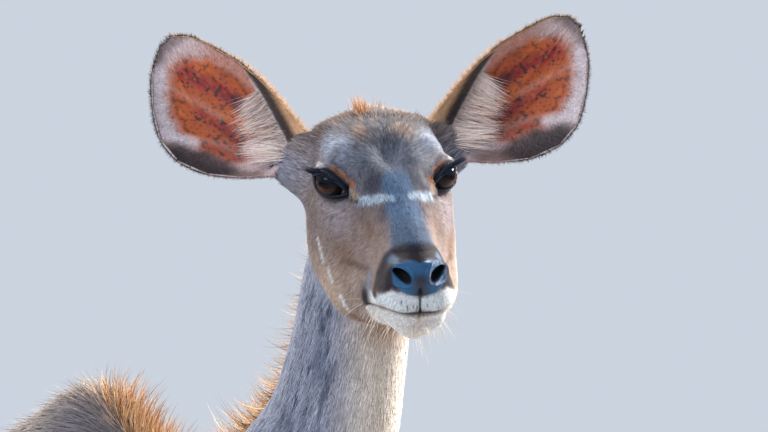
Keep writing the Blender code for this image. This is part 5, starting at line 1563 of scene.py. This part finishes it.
# %% Materials
def finish_of(name, roughness, size, amount, bump_size=0.0, bump=0.0, **sockets):
    """A material whose colour is the coat attribute, mottled, with constants on its own sockets."""
    look = bpy.data.materials.new(name)
    look.use_nodes = True
    nodes = look.node_tree.nodes
    shader = nodes["Principled BSDF"]
    stored = nodes.new("ShaderNodeAttribute")
    stored.attribute_name = "coat"
    spots = nodes.new("ShaderNodeGroup")
    spots.node_tree = mottle
    dial(spots, Size=size, Amount=amount)
    wire(look.node_tree, (stored, "Color", spots, "Colour"), (spots, "Colour", shader, "Base Color"))
    dial(shader, Roughness=roughness, **sockets)
    if bump:
        grainy = nodes.new("ShaderNodeGroup")
        grainy.node_tree = pebble
        dial(grainy, Size=bump_size)
        raised = nodes.new("ShaderNodeBump")
        dial(raised, Distance=bump)
        wire(look.node_tree, (grainy, "Height", raised, "Height"), (raised, "Normal", shader, "Normal"))
    return look


skin_finish = finish_of("kudu_skin_finish", 0.8, 700.0, 0.3, 900.0, 0.0006, Specular_IOR_Level=0.2)
wet_place = skin_finish.node_tree.nodes.new("ShaderNodeAttribute")
wet_place.attribute_name = "wet"
wet_range = skin_finish.node_tree.nodes.new("ShaderNodeMapRange")
dial(wet_range, To_Min=0.8, To_Max=0.24)
skin_shader = skin_finish.node_tree.nodes["Principled BSDF"]
wire(
    skin_finish.node_tree,
    (wet_place, "Fac", wet_range, "Value"),
    (wet_range, "Result", skin_shader, "Roughness"),
)
hair_finish = finish_of("kudu_hair", 0.75, 260.0, 0.25, Specular_IOR_Level=0.12, Sheen_Weight=0.06)
wet_finish = finish_of("wet_rim", 0.3, 500.0, 0.15, 1500.0, 0.0002, Specular_IOR_Level=0.15)
ear_finish = finish_of("ear_skin_finish", 0.55, 420.0, 0.35, 1100.0, 0.0004)
eye_finish = finish_of("eye_finish", 0.06, 900.0, 0.1, Specular_IOR_Level=0.12)
horn_finish = finish_of("hoof_horn", 0.42, 350.0, 0.4, 800.0, 0.0004)
FINISHES = {"kudu_skin": skin_finish, "kudu_eye": eye_finish, "lid_rim": wet_finish}
FINISHES |= {"kudu_ear": ear_finish, "hoof_": horn_finish, "dewclaws": horn_finish}
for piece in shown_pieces():
    for start, finish in FINISHES.items():
        if piece.name.startswith(start):
            piece.data.materials.clear()
            piece.data.materials.append(finish)

# %% [markdown]
# ## Colour the skin and make room for the coat
# The solids stand for the animal with its hair on. The skin therefore goes in along its
# normals by the depth of the coat, about a millimetre on the face and four on the barrel.

# %% Dress the skin
def coat_depth(points):
    """How thick the coat lies on the skin, in metres."""
    w = regions(points)
    face = 0.0014 - 0.0008 * ramp(-0.14, -0.18, to_head(points)[:, 1])
    face *= ramp(0.018, 0.034, eye_distance(points))
    legs = 0.0022 * ramp(0.03, 0.15, points[:, 2])
    return w["head"] * face + w["neck"] * 0.0028 + w["trunk"] * 0.0042 + w["legs"] * legs + w["tail"] * 0.003


FLESH = ["head", "neck_upper", "neck_lower", "torso", "tail"]
FLESH += [f"{leg}_{part}" for leg in STANCE for part in ("upper", "lower", "foot")]
p = points_of(skin)
colour, wet, bare = coat_colour(p)
set_points(skin, p - normals_of(skin) * coat_depth(p)[:, None])
set_colours(skin, colour * 0.85)
set_values(skin, "wet", wet)
SKIN = (points_of(skin), normals_of(skin), triangles_of(skin))
placed(skin, "hide", *FLESH)

# %% [markdown]
# ## One lock of hair
# Short hair and long hair are the same shape at different sizes: a thin closed blade with a
# ridge, wide at the root and pointed at the tip. With one ring it has four triangles, enough
# for the sleek coat. With four rings it can curl, for mane, fringe and tail.

# %% Blades of hair
def varied(rng, amount, count):
    """A column of each hair's own lightness: e to the power amount * a normal draw."""
    return np.exp(amount * rng.standard_normal(count))[:, None]


def blades(root, along, flat, length, width, bend, rings=1, thick=0.35):
    """Ring k stands at root + along * length * s + bend * s^2 and is 1 - s^1.6 as wide, s = k / rings."""
    n = len(root)
    s = np.arange(rings) / rings
    up = np.cross(along, flat)
    straight = along[:, None] * (length[:, None] * s)[..., None]
    middle = root[:, None] + straight + bend[:, None] * (s**2)[:, None]
    half = 0.5 * width[:, None] * (1 - s**1.6)
    side = flat[:, None] * half[..., None]
    ridge = up[:, None] * (2 * thick * half)[..., None]
    ring = np.stack([middle - side, middle + side, middle + ridge], 2).reshape(n, 3 * rings, 3)
    tip = root + along * length[:, None] + bend
    points = np.concatenate([ring, tip[:, None]], 1)
    faces = [(0, 2, 1)]
    for k in range(rings - 1):
        for j in range(3):
            a, b = 3 * k + j, 3 * k + (j + 1) % 3
            faces += [(a, b, b + 3), (a, b + 3, a + 3)]
    last = 3 * (rings - 1)
    faces += [(last + j, last + (j + 1) % 3, 3 * rings) for j in range(3)]
    each = 3 * rings + 1
    all_faces = (np.array(faces)[None] + (np.arange(n) * each)[:, None, None]).reshape(-1, 3)
    return points, all_faces


def hair_piece(name, slot, blades_made, root_colour, tip_colour, unwrap, normals=None):
    """Makes the mesh of many blades, with colours from root to tip and a patch of UV for each."""
    points, faces = blades_made
    n, each = points.shape[:2]
    if not n:
        return None
    piece = build_mesh(name, points.reshape(-1, 3), faces, smooth=normals is not None)
    rings = (each - 1) // 3
    s = np.append(np.repeat(np.arange(rings) / rings, 3), 1.0)
    colour = root_colour[:, None] * (1 - s)[:, None] + tip_colour[:, None] * s[:, None]
    set_colours(piece, colour.reshape(-1, 3))
    corner = np.column_stack([np.append(np.tile((0.0, 1.0, 0.5), rings), 0.5), s])
    patch = (unwrap[:, None] + 0.003 * (corner - 0.5)).reshape(-1, 2)
    layer = piece.data.uv_layers.new(name="OFBake")
    layer.data.foreach_set("uv", numbers(np.clip(patch, 0.001, 0.999)[faces.ravel()]))
    if normals is not None:
        spread = np.append(np.tile((-0.45, 0.45, 0.0), rings), 0.0)
        flat = unit(points[:, 1] - points[:, 0])
        shading = unit(normals[:, None] + flat[:, None] * spread[:, None])
        piece.data.normals_split_custom_set_from_vertices(shading.reshape(-1, 3).astype(np.float32))
    piece.data.materials.append(hair_finish)
    return placed(piece, slot)


def scatter(surface, density, seed):
    """Roots spread evenly over a surface: each triangle gets its area times the density there."""
    rng = np.random.default_rng(seed)
    points, normals, triangles = surface
    corners = points[triangles]
    ab, ac = corners[:, 1] - corners[:, 0], corners[:, 2] - corners[:, 0]
    area = 0.5 * np.linalg.norm(np.cross(ab, ac), axis=1)
    share = np.cumsum(area * density(corners.mean(1)))
    n = int(share[-1])
    pick = np.searchsorted(share, np.arange(n) + rng.random(n)).clip(0, len(area) - 1)
    a, b = rng.random((2, n))
    over = a + b > 1
    a, b = np.where(over, 1 - a, a), np.where(over, 1 - b, b)
    weight = np.stack([1 - a - b, a, b], 1)[..., None]
    chosen = triangles[pick]
    return (points[chosen] * weight).sum(1), unit((normals[chosen] * weight).sum(1))


# %% [markdown]
# ## The sleek coat
# Over most of the body the hair is short and flat. What one sees of it is a fine streaking
# along its lie, and a soft broken edge. Each tuft stands up by about ten degrees and takes
# the colour of the place it grows from, darker at the root with painted shade and paler at the tip.

# %% Size and number of the short tufts
def tuft_size(points):
    """Length and width of the tufts at each place, shortest on muzzle, lids and feet."""
    w = regions(points)
    y = to_head(points)[:, 1]
    face = 0.0075 + 0.0045 * ramp(0.04, 0.09, y) - 0.0038 * ramp(-0.12, -0.17, y)
    face = np.minimum(face, 0.003 + 0.3 * np.maximum(eye_distance(points) - 0.026, 0))
    legs = np.interp(points[:, 2], (0.05, 0.3, 0.75), (0.008, 0.011, 0.017))
    length = w["head"] * face + w["neck"] * 0.013 + w["trunk"] * 0.023 + w["legs"] * legs + w["tail"] * 0.018
    width = np.interp(length, (0.003, 0.0075, 0.013, 0.023), (0.0007, 0.001, 0.0017, 0.0031))
    return length, width


COVER = 1.9


def tuft_density(points):
    """How many tufts grow on a square metre, so that their blades cover the skin about twice."""
    length, width = tuft_size(points)
    w = regions(points)
    return (COVER + 0.4 * w["head"] - 0.4 * w["neck"] - 0.85 * w["legs"]) / (0.5 * length * width)


roots, root_normals = scatter(SKIN, tuft_density, 1)
base_colour, wet, bare = coat_colour(roots)
ok = (bare < 0.5) & (roots[:, 2] > HOOF_TOP)
roots, root_normals, base_colour = roots[ok], root_normals[ok], base_colour[ok]
print(len(roots), "short tufts")

# %% Grow them
def turn_round(across, up):
    """The angle round a limb as a number from 0 to 1."""
    return np.arctan2(across, up) / 6.4 + 0.5


def unwrap_of(points):
    """Each place on a flat unwrap of its own part: round the head, round the neck, side on the trunk."""
    w = regions(points)
    x, y, z = to_head(points).T
    head = np.stack([turn_round(x, z + 0.04), (y + 0.26) / 0.5], 1)
    share, across, dorsal = neck_sides(points)
    neck = np.stack([turn_round(across, dorsal), share], 1)
    x, y, z = points.T
    trunk = np.stack([(y + 0.8) / 1.65, (z - 0.45) / 0.95], 1)
    foot = np.where(y > 0, 0.54, -0.41)
    legs = np.stack([0.5 * turn_round(np.abs(x) - 0.105, y - foot) + 0.5 * (x > 0), z / 0.95], 1)
    tail = np.stack([turn_round(x, y - 0.69), (z - 0.6) / 0.55], 1)
    total = np.zeros((len(points), 2))
    best = np.argmax(np.stack([w[k] for k in ("head", "neck", "trunk", "legs", "tail")]), 0)
    for k, part in enumerate((head, neck, trunk, legs, tail)):
        total = np.where((best == k)[:, None], part, total)
    return total, best


def grow(name, chosen, lift=0.19, contrast=0.18):
    """A coat piece from the chosen roots."""
    r, n, c = roots[chosen], root_normals[chosen], base_colour[chosen]
    length, width = tuft_size(r)
    rng = np.random.default_rng(len(r))
    way = lie_of_coat(r, n)
    flat = np.cross(n, way)
    way = unit(way + flat * (0.16 * rng.standard_normal(len(r)))[:, None])
    along = unit(way + n * (lift * rng.uniform(0.6, 1.3, len(r)))[:, None])
    flat = unit(np.cross(n, along))
    length = length * rng.uniform(0.75, 1.25, len(r))
    made = blades(r - n * (0.15 * width)[:, None], along, flat, length, width, n * 0)
    light = varied(rng, contrast, len(r))
    dark = (rng.random(len(r)) < 0.12)[:, None]
    c = c * light * np.where(dark, 1 - 2 * contrast, 1.0)
    # Roots darker by the contrast: painted shade at the foot of each tuft
    hair_piece(name, "hide", made, c * (1 - contrast), c * 1.1, unwrap[chosen], normals=n)


unwrap, part_of = unwrap_of(roots)
y = roots[:, 1]
left = roots[:, 0] > 0
local = to_head(roots)
grow("coat_face_left", (part_of == 0) & (local[:, 1] < 0.0) & (local[:, 0] > 0))
grow("coat_face_right", (part_of == 0) & (local[:, 1] < 0.0) & (local[:, 0] <= 0))
grow("coat_crown", (part_of == 0) & (local[:, 1] >= 0.0), contrast=0.27)
grow("coat_neck_left", (part_of == 1) & left, lift=0.13, contrast=0.13)
grow("coat_neck_right", (part_of == 1) & ~left, lift=0.13, contrast=0.13)
for side, here in (("left", left), ("right", ~left)):
    grow("coat_shoulder_" + side, (part_of == 2) & here & (y < 0.0))
    grow("coat_flank_" + side, (part_of == 2) & here & (y >= 0.0))
grow("coat_front_legs", (part_of == 3) & (y < 0.0))
grow("coat_hind_legs", (part_of == 3) & (y >= 0.0))
grow("coat_tail", part_of == 4)

# %% [markdown]
# ## Ears in their fur
# The back of an ear has short sleek hair that runs to the tip, and its edges a soft fuzz that
# catches the light. Inside, long pale hairs grow from the upper edge of the opening and sweep
# across it, to keep dust and insects out.

# %% Short hair of the ears
def plain_unwrap(local):
    """The ear's own plane as its unwrap."""
    return np.stack([local[:, 0] / 0.23 + 0.05, (local[:, 1] + 0.1) / 0.16], 1)


def to_ear(points, side):
    """The way back of from_ear: less the lift, over the ear's own length."""
    length, lift = EAR_FIT[side]
    return (moved(points, ear_frame(side).inverted()) - (0, lift, 0)) / (length, 1, 1)


for side in SIDES:
    r, n = scatter(ears[side], lambda q: np.full(len(q), 330000.0), 7)
    local = to_ear(r, side)
    turn = axes_of(ear_frame(side))
    within = (n @ turn)[:, 2] > 0
    u, v = warm_place(local[:, 0], local[:, 1])
    furry = (~within) | (np.hypot(u, v) > 1.0) | (local[:, 1] > ear_opening(local[:, 0]))
    r, n, local, within, u, v = (q[furry] for q in (r, n, local, within, u, v))
    rng = np.random.default_rng(3)
    way = np.where(within[:, None], np.column_stack([0.8 * u, v, 0 * u]), (1.0, 0.0, 0.0))
    way += 0.25 * rng.standard_normal(way.shape)
    way = way @ turn.T
    way = unit(way - n * (way * n).sum(1, keepdims=True))
    along = unit(way + n * (0.25 * rng.uniform(0.5, 1.5, len(r)))[:, None])
    flat = unit(np.cross(n, along))
    length = np.where(within, 0.005, 0.008) * rng.uniform(0.7, 1.3, len(r))
    colour = ear_colour(local, within.astype(float)) * varied(rng, 0.22, len(r))
    made = blades(r, along, flat, length, np.where(within, 0.0007, 0.0012), n * 0)
    patches = plain_unwrap(local)
    # Roots at 0.8 of the colour: painted shade at the foot of each hair
    hair_piece("coat_ear_" + side, "ear_skin", made, colour * 0.8, colour * 1.15, patches, normals=n)

# %% Fuzz on the margins
for side in SIDES:
    rng = np.random.default_rng(13)
    count = 1500
    x = EAR_LENGTH * rng.random(count)
    top = rng.random(count) < 0.6
    y = np.where(top, *ear_margins(x))
    slope = (np.where(top, *ear_margins(x + 0.004)) - y) / 0.004
    sign = np.where(top, 1.0, -1.0)
    out = unit(np.column_stack([-slope * sign, sign, 0 * x]))
    out = unit(out + (0.5, 0.0, -0.2) + 0.25 * rng.standard_normal((count, 3)))
    turn = axes_of(ear_frame(side))
    local = np.column_stack([x, y, -0.001 + 0 * x])
    length = np.where(top, 0.0085, 0.004) * rng.uniform(0.6, 1.4, count) * np.where(x < 0.13, 1.0, 0.55)
    along = out @ turn.T
    flat = unit(np.cross(along, turn[:, 2]))
    colour = np.where(top[:, None], tone(226, 186, 146), tone(196, 182, 182)) * varied(rng, 0.2, count)
    made = blades(from_ear(local - out * 0.001, side), along, flat, length, 0 * x + 0.0006, along * 0)
    # Roots at 0.9 of the colour: painted shade at the foot of each hair
    hair_piece("ear_fuzz_" + side, "pale_hide", made, colour * 0.9, colour * 1.1, plain_unwrap(local))

# %% Fringe across the opening
for side in SIDES:
    rng = np.random.default_rng(17)
    count = 620
    x = 0.092 * rng.random(count) - 0.002
    y = ear_opening(x) + 0.0015 - 0.01 * rng.random(count) ** 1.5
    share = np.clip(x / 0.084, 0, 1)
    upper, lower = ear_margins(x)
    v = np.clip((upper - y) / (upper - lower), 0, 1)
    cup = np.interp(x / EAR_LENGTH, np.array(EAR_UPPER)[:, 0], EAR_CUP)
    z = -cup * (4 * v * (1 - v)) ** 0.75 * ramp(0.0, 0.16, x / EAR_LENGTH)
    way = np.column_stack([0.6 - 0.75 * share, -0.75 - 0.22 * share, 0.42 + 0 * x])
    way = unit(way + 0.15 * rng.standard_normal((count, 3)))
    turn = axes_of(ear_frame(side))
    length = (0.046 - 0.008 * share) * rng.uniform(0.55, 1.2, count)
    along = way @ turn.T
    flat = unit(np.cross(along, turn[:, 2] + 0.5 * rng.standard_normal((count, 3))))
    bend = (length[:, None] * (0.25, -0.1, -0.3)) @ turn.T
    local = np.column_stack([x, y, z])
    colour = mix(tone(226, 196, 182), tone(240, 232, 230), rng.random(count)) * varied(rng, 0.14, count)
    width = rng.uniform(0.0004, 0.0009, count)
    made = blades(from_ear(local, side), along, flat, length, width, bend, rings=3)
    # Roots at 0.85 of the colour: painted shade at the foot of each hair
    hair_piece("ear_fringe_" + side, "pale_hide", made, colour * 0.85, colour * 1.05, plain_unwrap(local))

# %% [markdown]
# ## Lashes and whiskers
# The lashes of the upper lid are long, stiff and blue-black. They stand out over the eye and
# sweep to its outer corner. A few pale whiskers grow from the chin.

# %% Lashes
for side in SIDES:
    rng = np.random.default_rng(23)
    count = 230
    edge = almond_edge(True, 400)
    pick = (rng.random(count) ** 1.2 * 300).astype(int) + 4
    place = edge[pick]
    share = pick / 400
    z = ball_height(*place.T) + 0.0026
    local = np.column_stack([place, z])
    way = np.column_stack([-0.95 + 0.9 * share, 0.4 - 0.15 * share, 0.62 + 0 * share])
    way = unit(way + 0.14 * rng.standard_normal((count, 3)))
    length = (0.017 - 0.008 * share) * rng.uniform(0.75, 1.15, count)
    bend = length[:, None] * (-0.15, -0.22, -0.25)
    turn = axes_of(eye_frame(side))
    along = way @ turn.T
    flat = unit(np.cross(along, turn[:, 1] + 0.3 * rng.standard_normal((count, 3))))
    dark = tone(20, 30, 50) * varied(rng, 0.25, count)
    roots_here = moved(local, eye_frame(side))
    made = blades(roots_here, along, flat, length, 0 * length + 0.001, bend @ turn.T, rings=4)
    spread = np.column_stack([local[:, 0] / 0.06 + 0.5, share])
    hair_piece("lashes_" + side, "brush", made, dark, dark, spread)

# %% Whiskers
def lip_and_chin(q):
    """10,000 whiskers to a square metre below the mouth, and none elsewhere."""
    _, y, z = to_head(q).T
    return 10000.0 * (y < -0.13) * (z < -0.072) * (q[:, 2] > 1.25)


rng = np.random.default_rng(29)
r, n = scatter(SKIN, lip_and_chin, 31)
# Nothing reads this draw; it stays so that the draws after it keep their values
rng.random(len(r))
way = n + 0.25 * rng.standard_normal(n.shape) + np.array((0, 0, -0.25))
along = unit(way)
flat = unit(np.cross(along, rng.standard_normal(n.shape)))
length = rng.uniform(0.012, 0.034, len(r))
colour = np.tile(CREAM, (len(r), 1))
bend = unit(n * 0.2 + (0, 0, -1)) * (0.25 * length)[:, None]
made = blades(r, along, flat, length, 0 * length + 0.0005, bend, rings=4)
hair_piece("whiskers", "pale_hide", made, colour, colour, unwrap_of(r)[0])

# %% [markdown]
# ## Mane, crest and tail
# Long hair grows in wisps that cling together, so one blade stands for a few hairs. Down the
# nape they rise and curl back, on the withers and back they lie flatter, and at the end of
# the tail they hang as a dark tuft.

# %% Wisps along the nape and the back
def wisps(name, density, seed, length, width, rise, spread, curl, colours, rings=4, taper=None):
    """Long blades from the skin where the density says, rising from the lie of the coat."""
    r, n = scatter(SKIN, density, seed)
    rng = np.random.default_rng(seed)
    way = lie_of_coat(r, n)
    stand = (rise * rng.uniform(0.5, 1.5, len(r)))[:, None]
    along = unit(way + n * stand + spread * rng.standard_normal(n.shape))
    flat = unit(np.cross(along, n + 0.6 * rng.standard_normal(n.shape)))
    length = length * rng.uniform(0.5, 1.25, len(r)) * (taper(r) if taper else 1.0)
    bend = (way * curl[0] + n * curl[1]) * length[:, None]
    colour = mix(*colours, rng.random(len(r))) * varied(rng, 0.18, len(r))
    width = width * rng.uniform(0.6, 1.3, len(r))
    made = blades(r - n * 0.0006, along, flat, length, width, bend, rings=rings)
    # Roots at 0.56 of the colour: painted shade at the foot of each wisp
    hair_piece(name, "hide", made, colour * 0.56, colour * 1.12, unwrap_of(r)[0])


def nape(q):
    """Within 3 cm of the ridge behind the neck, fading over 2 cm, and not on the head."""
    _, across, dorsal = neck_sides(q)
    here = ramp(0.03, 0.008, np.abs(across)) * (dorsal > 0.02) * (q[:, 1] < -0.36) * (q[:, 2] > 1.1)
    return 150000.0 * here * (regions(q)["head"] * (to_head(q)[:, 1] < 0.11) < 0.6)


def towards_poll(q):
    """A taper: 0.3 of the length at the poll, growing to all of it down the neck."""
    return 0.3 + 0.7 * ramp(0.98, 0.62, neck_sides(q)[0])


def spine(q):
    """Along the middle of the back, fading out 2.2 cm to each side."""
    top = (np.abs(q[:, 0]) < 0.022) & (q[:, 2] > 1.1) & (q[:, 1] > -0.56) & (q[:, 1] < 0.56)
    return 26000.0 * top * ramp(0.022, 0.008, np.abs(q[:, 0])) * (regions(q)["trunk"] > 0.4)


def withers(q):
    """A bell over the withers, 10 cm in half width, fading out 5 cm to each side."""
    x, y, z = q.T
    return 70000.0 * ramp(0.05, 0.01, np.abs(x)) * bell(y + 0.335, 0.1) * (z > 1.22)


def shorter_in_front(q):
    """A taper: 0.35 of the length before the withers, and all of it behind."""
    return 0.35 + 0.65 * ramp(-0.43, -0.38, q[:, 1])


MANE = (tone(150, 98, 62), tone(236, 200, 156))
wisps("mane_neck", nape, 41, 0.05, 0.0013, 0.85, 0.22, (-0.35, 0.15), MANE, rings=3, taper=towards_poll)
BACK_CREST = (tone(92, 76, 66), CREAM)
wisps("crest_back", spine, 43, 0.034, 0.0016, 0.35, 0.12, (0.1, -0.05), BACK_CREST, taper=shorter_in_front)
WITHERS_CREST = (tone(92, 80, 80), tone(214, 192, 174))
wisps(
    "crest_withers", withers, 47, 0.032, 0.0011, 0.38, 0.14, (0.1, 0.08), WITHERS_CREST,
    rings=3, taper=shorter_in_front,
)

# %% Crown, poll and tail
def crown(q):
    """Between the ears, from 3.5 cm behind the eyes to the back of the skull."""
    x, y, z = to_head(q).T
    on_crown = 90000.0 * ramp(0.035, 0.06, y) * ramp(0.135, 0.11, y)
    return on_crown * (z > 0.015) * (np.abs(x) < 0.075)


def poll(q):
    """One small bell on top of the head, 6 mm by 11 mm in half width."""
    x, y, z = to_head(q).T
    return 420000.0 * bell(x + 0.012, 0.006) * bell(y - 0.084, 0.011) * (z > 0.02)


def tail_end(q):
    """The tail below 0.96 m, full from 0.86 m down."""
    return 150000.0 * (q[:, 2] < 0.96) * (regions(q)["tail"] > 0.5) * ramp(0.97, 0.86, q[:, 2])


wisps("crown_hair", crown, 53, 0.013, 0.001, 0.2, 0.2, (0.2, 0.0), (DEEP_SLATE, PINK_FAWN), rings=2)
wisps("poll_tuft", poll, 59, 0.017, 0.001, 1.9, 0.3, (0.1, 0.1), (tone(190, 120, 72), tone(232, 196, 156)))
wisps("tail_hair", tail_end, 61, 0.055, 0.0018, 0.25, 0.1, (0.1, -0.12), (BLACK * 1.5, tone(60, 46, 40)))

# %% [markdown]
# ## Floor, light and camera
# The animal stands on a plain grey floor in a room whose even light is a pale blue grey. A
# large cool lamp stands on the picture's left, a strong warm one on its right draws the sunlit
# edges of cheek and throat, and two warm ones behind light the rims of ears, crown and mane.
# The camera is a long lens nine metres away, two degrees above the head. The plain view
# transform is set at the end, because the default one greys the colours.

# %% Floor
FLOOR_HALF = 14.0
floor_corners = FLOOR_HALF * np.array([(-1, -1, 0), (1, -1, 0), (1, 1, 0), (-1, 1, 0)])
floor = build_mesh("floor", floor_corners, np.array([[0, 1, 2, 3]]))
floor_look = bpy.data.materials.new("pale_floor")
floor_look.use_nodes = True
dial(floor_look.node_tree.nodes["Principled BSDF"], Base_Color=(0.42, 0.42, 0.42, 1), Roughness=0.85)
floor.data.materials.append(floor_look)

# %% Light
world = bpy.data.worlds.new("pale_room")
world.use_nodes = True
dial(world.node_tree.nodes["Background"], Color=(0.78, 0.86, 0.97, 1), Strength=0.76)
bpy.context.scene.world = world
HEAD_MIDDLE = HEAD_PLACE + Vector(ORIGIN_SHIFT)


def towards(azimuth, elevation):
    """Unit vector to a lamp or a camera, angles as the views': (sin a cos e, -cos a cos e, sin e)."""
    a, e = math.radians(azimuth), math.radians(elevation)
    return Vector((math.sin(a) * math.cos(e), -math.cos(a) * math.cos(e), math.sin(e)))


def aimed(name, data, place, back):
    """An object at that place, which looks against the direction back."""
    obj = bpy.data.objects.new(name, data)
    obj.location = place
    obj.rotation_mode = "QUATERNION"
    obj.rotation_quaternion = back.to_track_quat("Z", "Y")
    bpy.context.scene.collection.objects.link(obj)
    return obj


def soft_lamp(name, azimuth, elevation, distance, size, watts, colour):
    """A square lamp that faces the head from that direction."""
    back = towards(azimuth, elevation)
    data = bpy.data.lights.new(name, "AREA")
    data.size = size
    data.energy = watts
    data.color = colour
    aimed(name, data, HEAD_MIDDLE + back * distance, back)


soft_lamp("key", -90, 30, 4.5, 2.2, 150, (0.92, 0.95, 1.0))
soft_lamp("sun_side", 72, 24, 4.0, 0.8, 600, (1.0, 0.93, 0.84))
soft_lamp("rim_right", 110, 40, 4.0, 1.0, 200, (1.0, 0.9, 0.78))
soft_lamp("rim_left", 178, 36, 4.0, 1.2, 210, (1.0, 0.88, 0.72))

# %% Camera
CAMERA_TURN, CAMERA_RISE, CAMERA_DISTANCE = -45.0, 2.0, 9.0
METRES_PER_PIXEL = 0.00113
PHOTO_WIDTH, PHOTO_HEIGHT = 768, 432
HEAD_PIXEL = (383, 180)
to_right = Vector((math.cos(math.radians(CAMERA_TURN)), math.sin(math.radians(CAMERA_TURN)), 0))
to_back = towards(CAMERA_TURN, CAMERA_RISE)
to_top = to_back.cross(to_right)
aim = HEAD_MIDDLE - to_right * (PHOTO_WIDTH / 2 - HEAD_PIXEL[0]) * METRES_PER_PIXEL
aim -= to_top * (PHOTO_HEIGHT / 2 - HEAD_PIXEL[1]) * METRES_PER_PIXEL
lens = bpy.data.cameras.new("camera")
lens.sensor_width = 36.0
lens.lens = lens.sensor_width * CAMERA_DISTANCE / (PHOTO_WIDTH * METRES_PER_PIXEL)
bpy.context.scene.camera = aimed("camera", lens, aim + to_back * CAMERA_DISTANCE, to_back)

# %% Plain view transform
bpy.context.scene.view_settings.view_transform = "Standard"
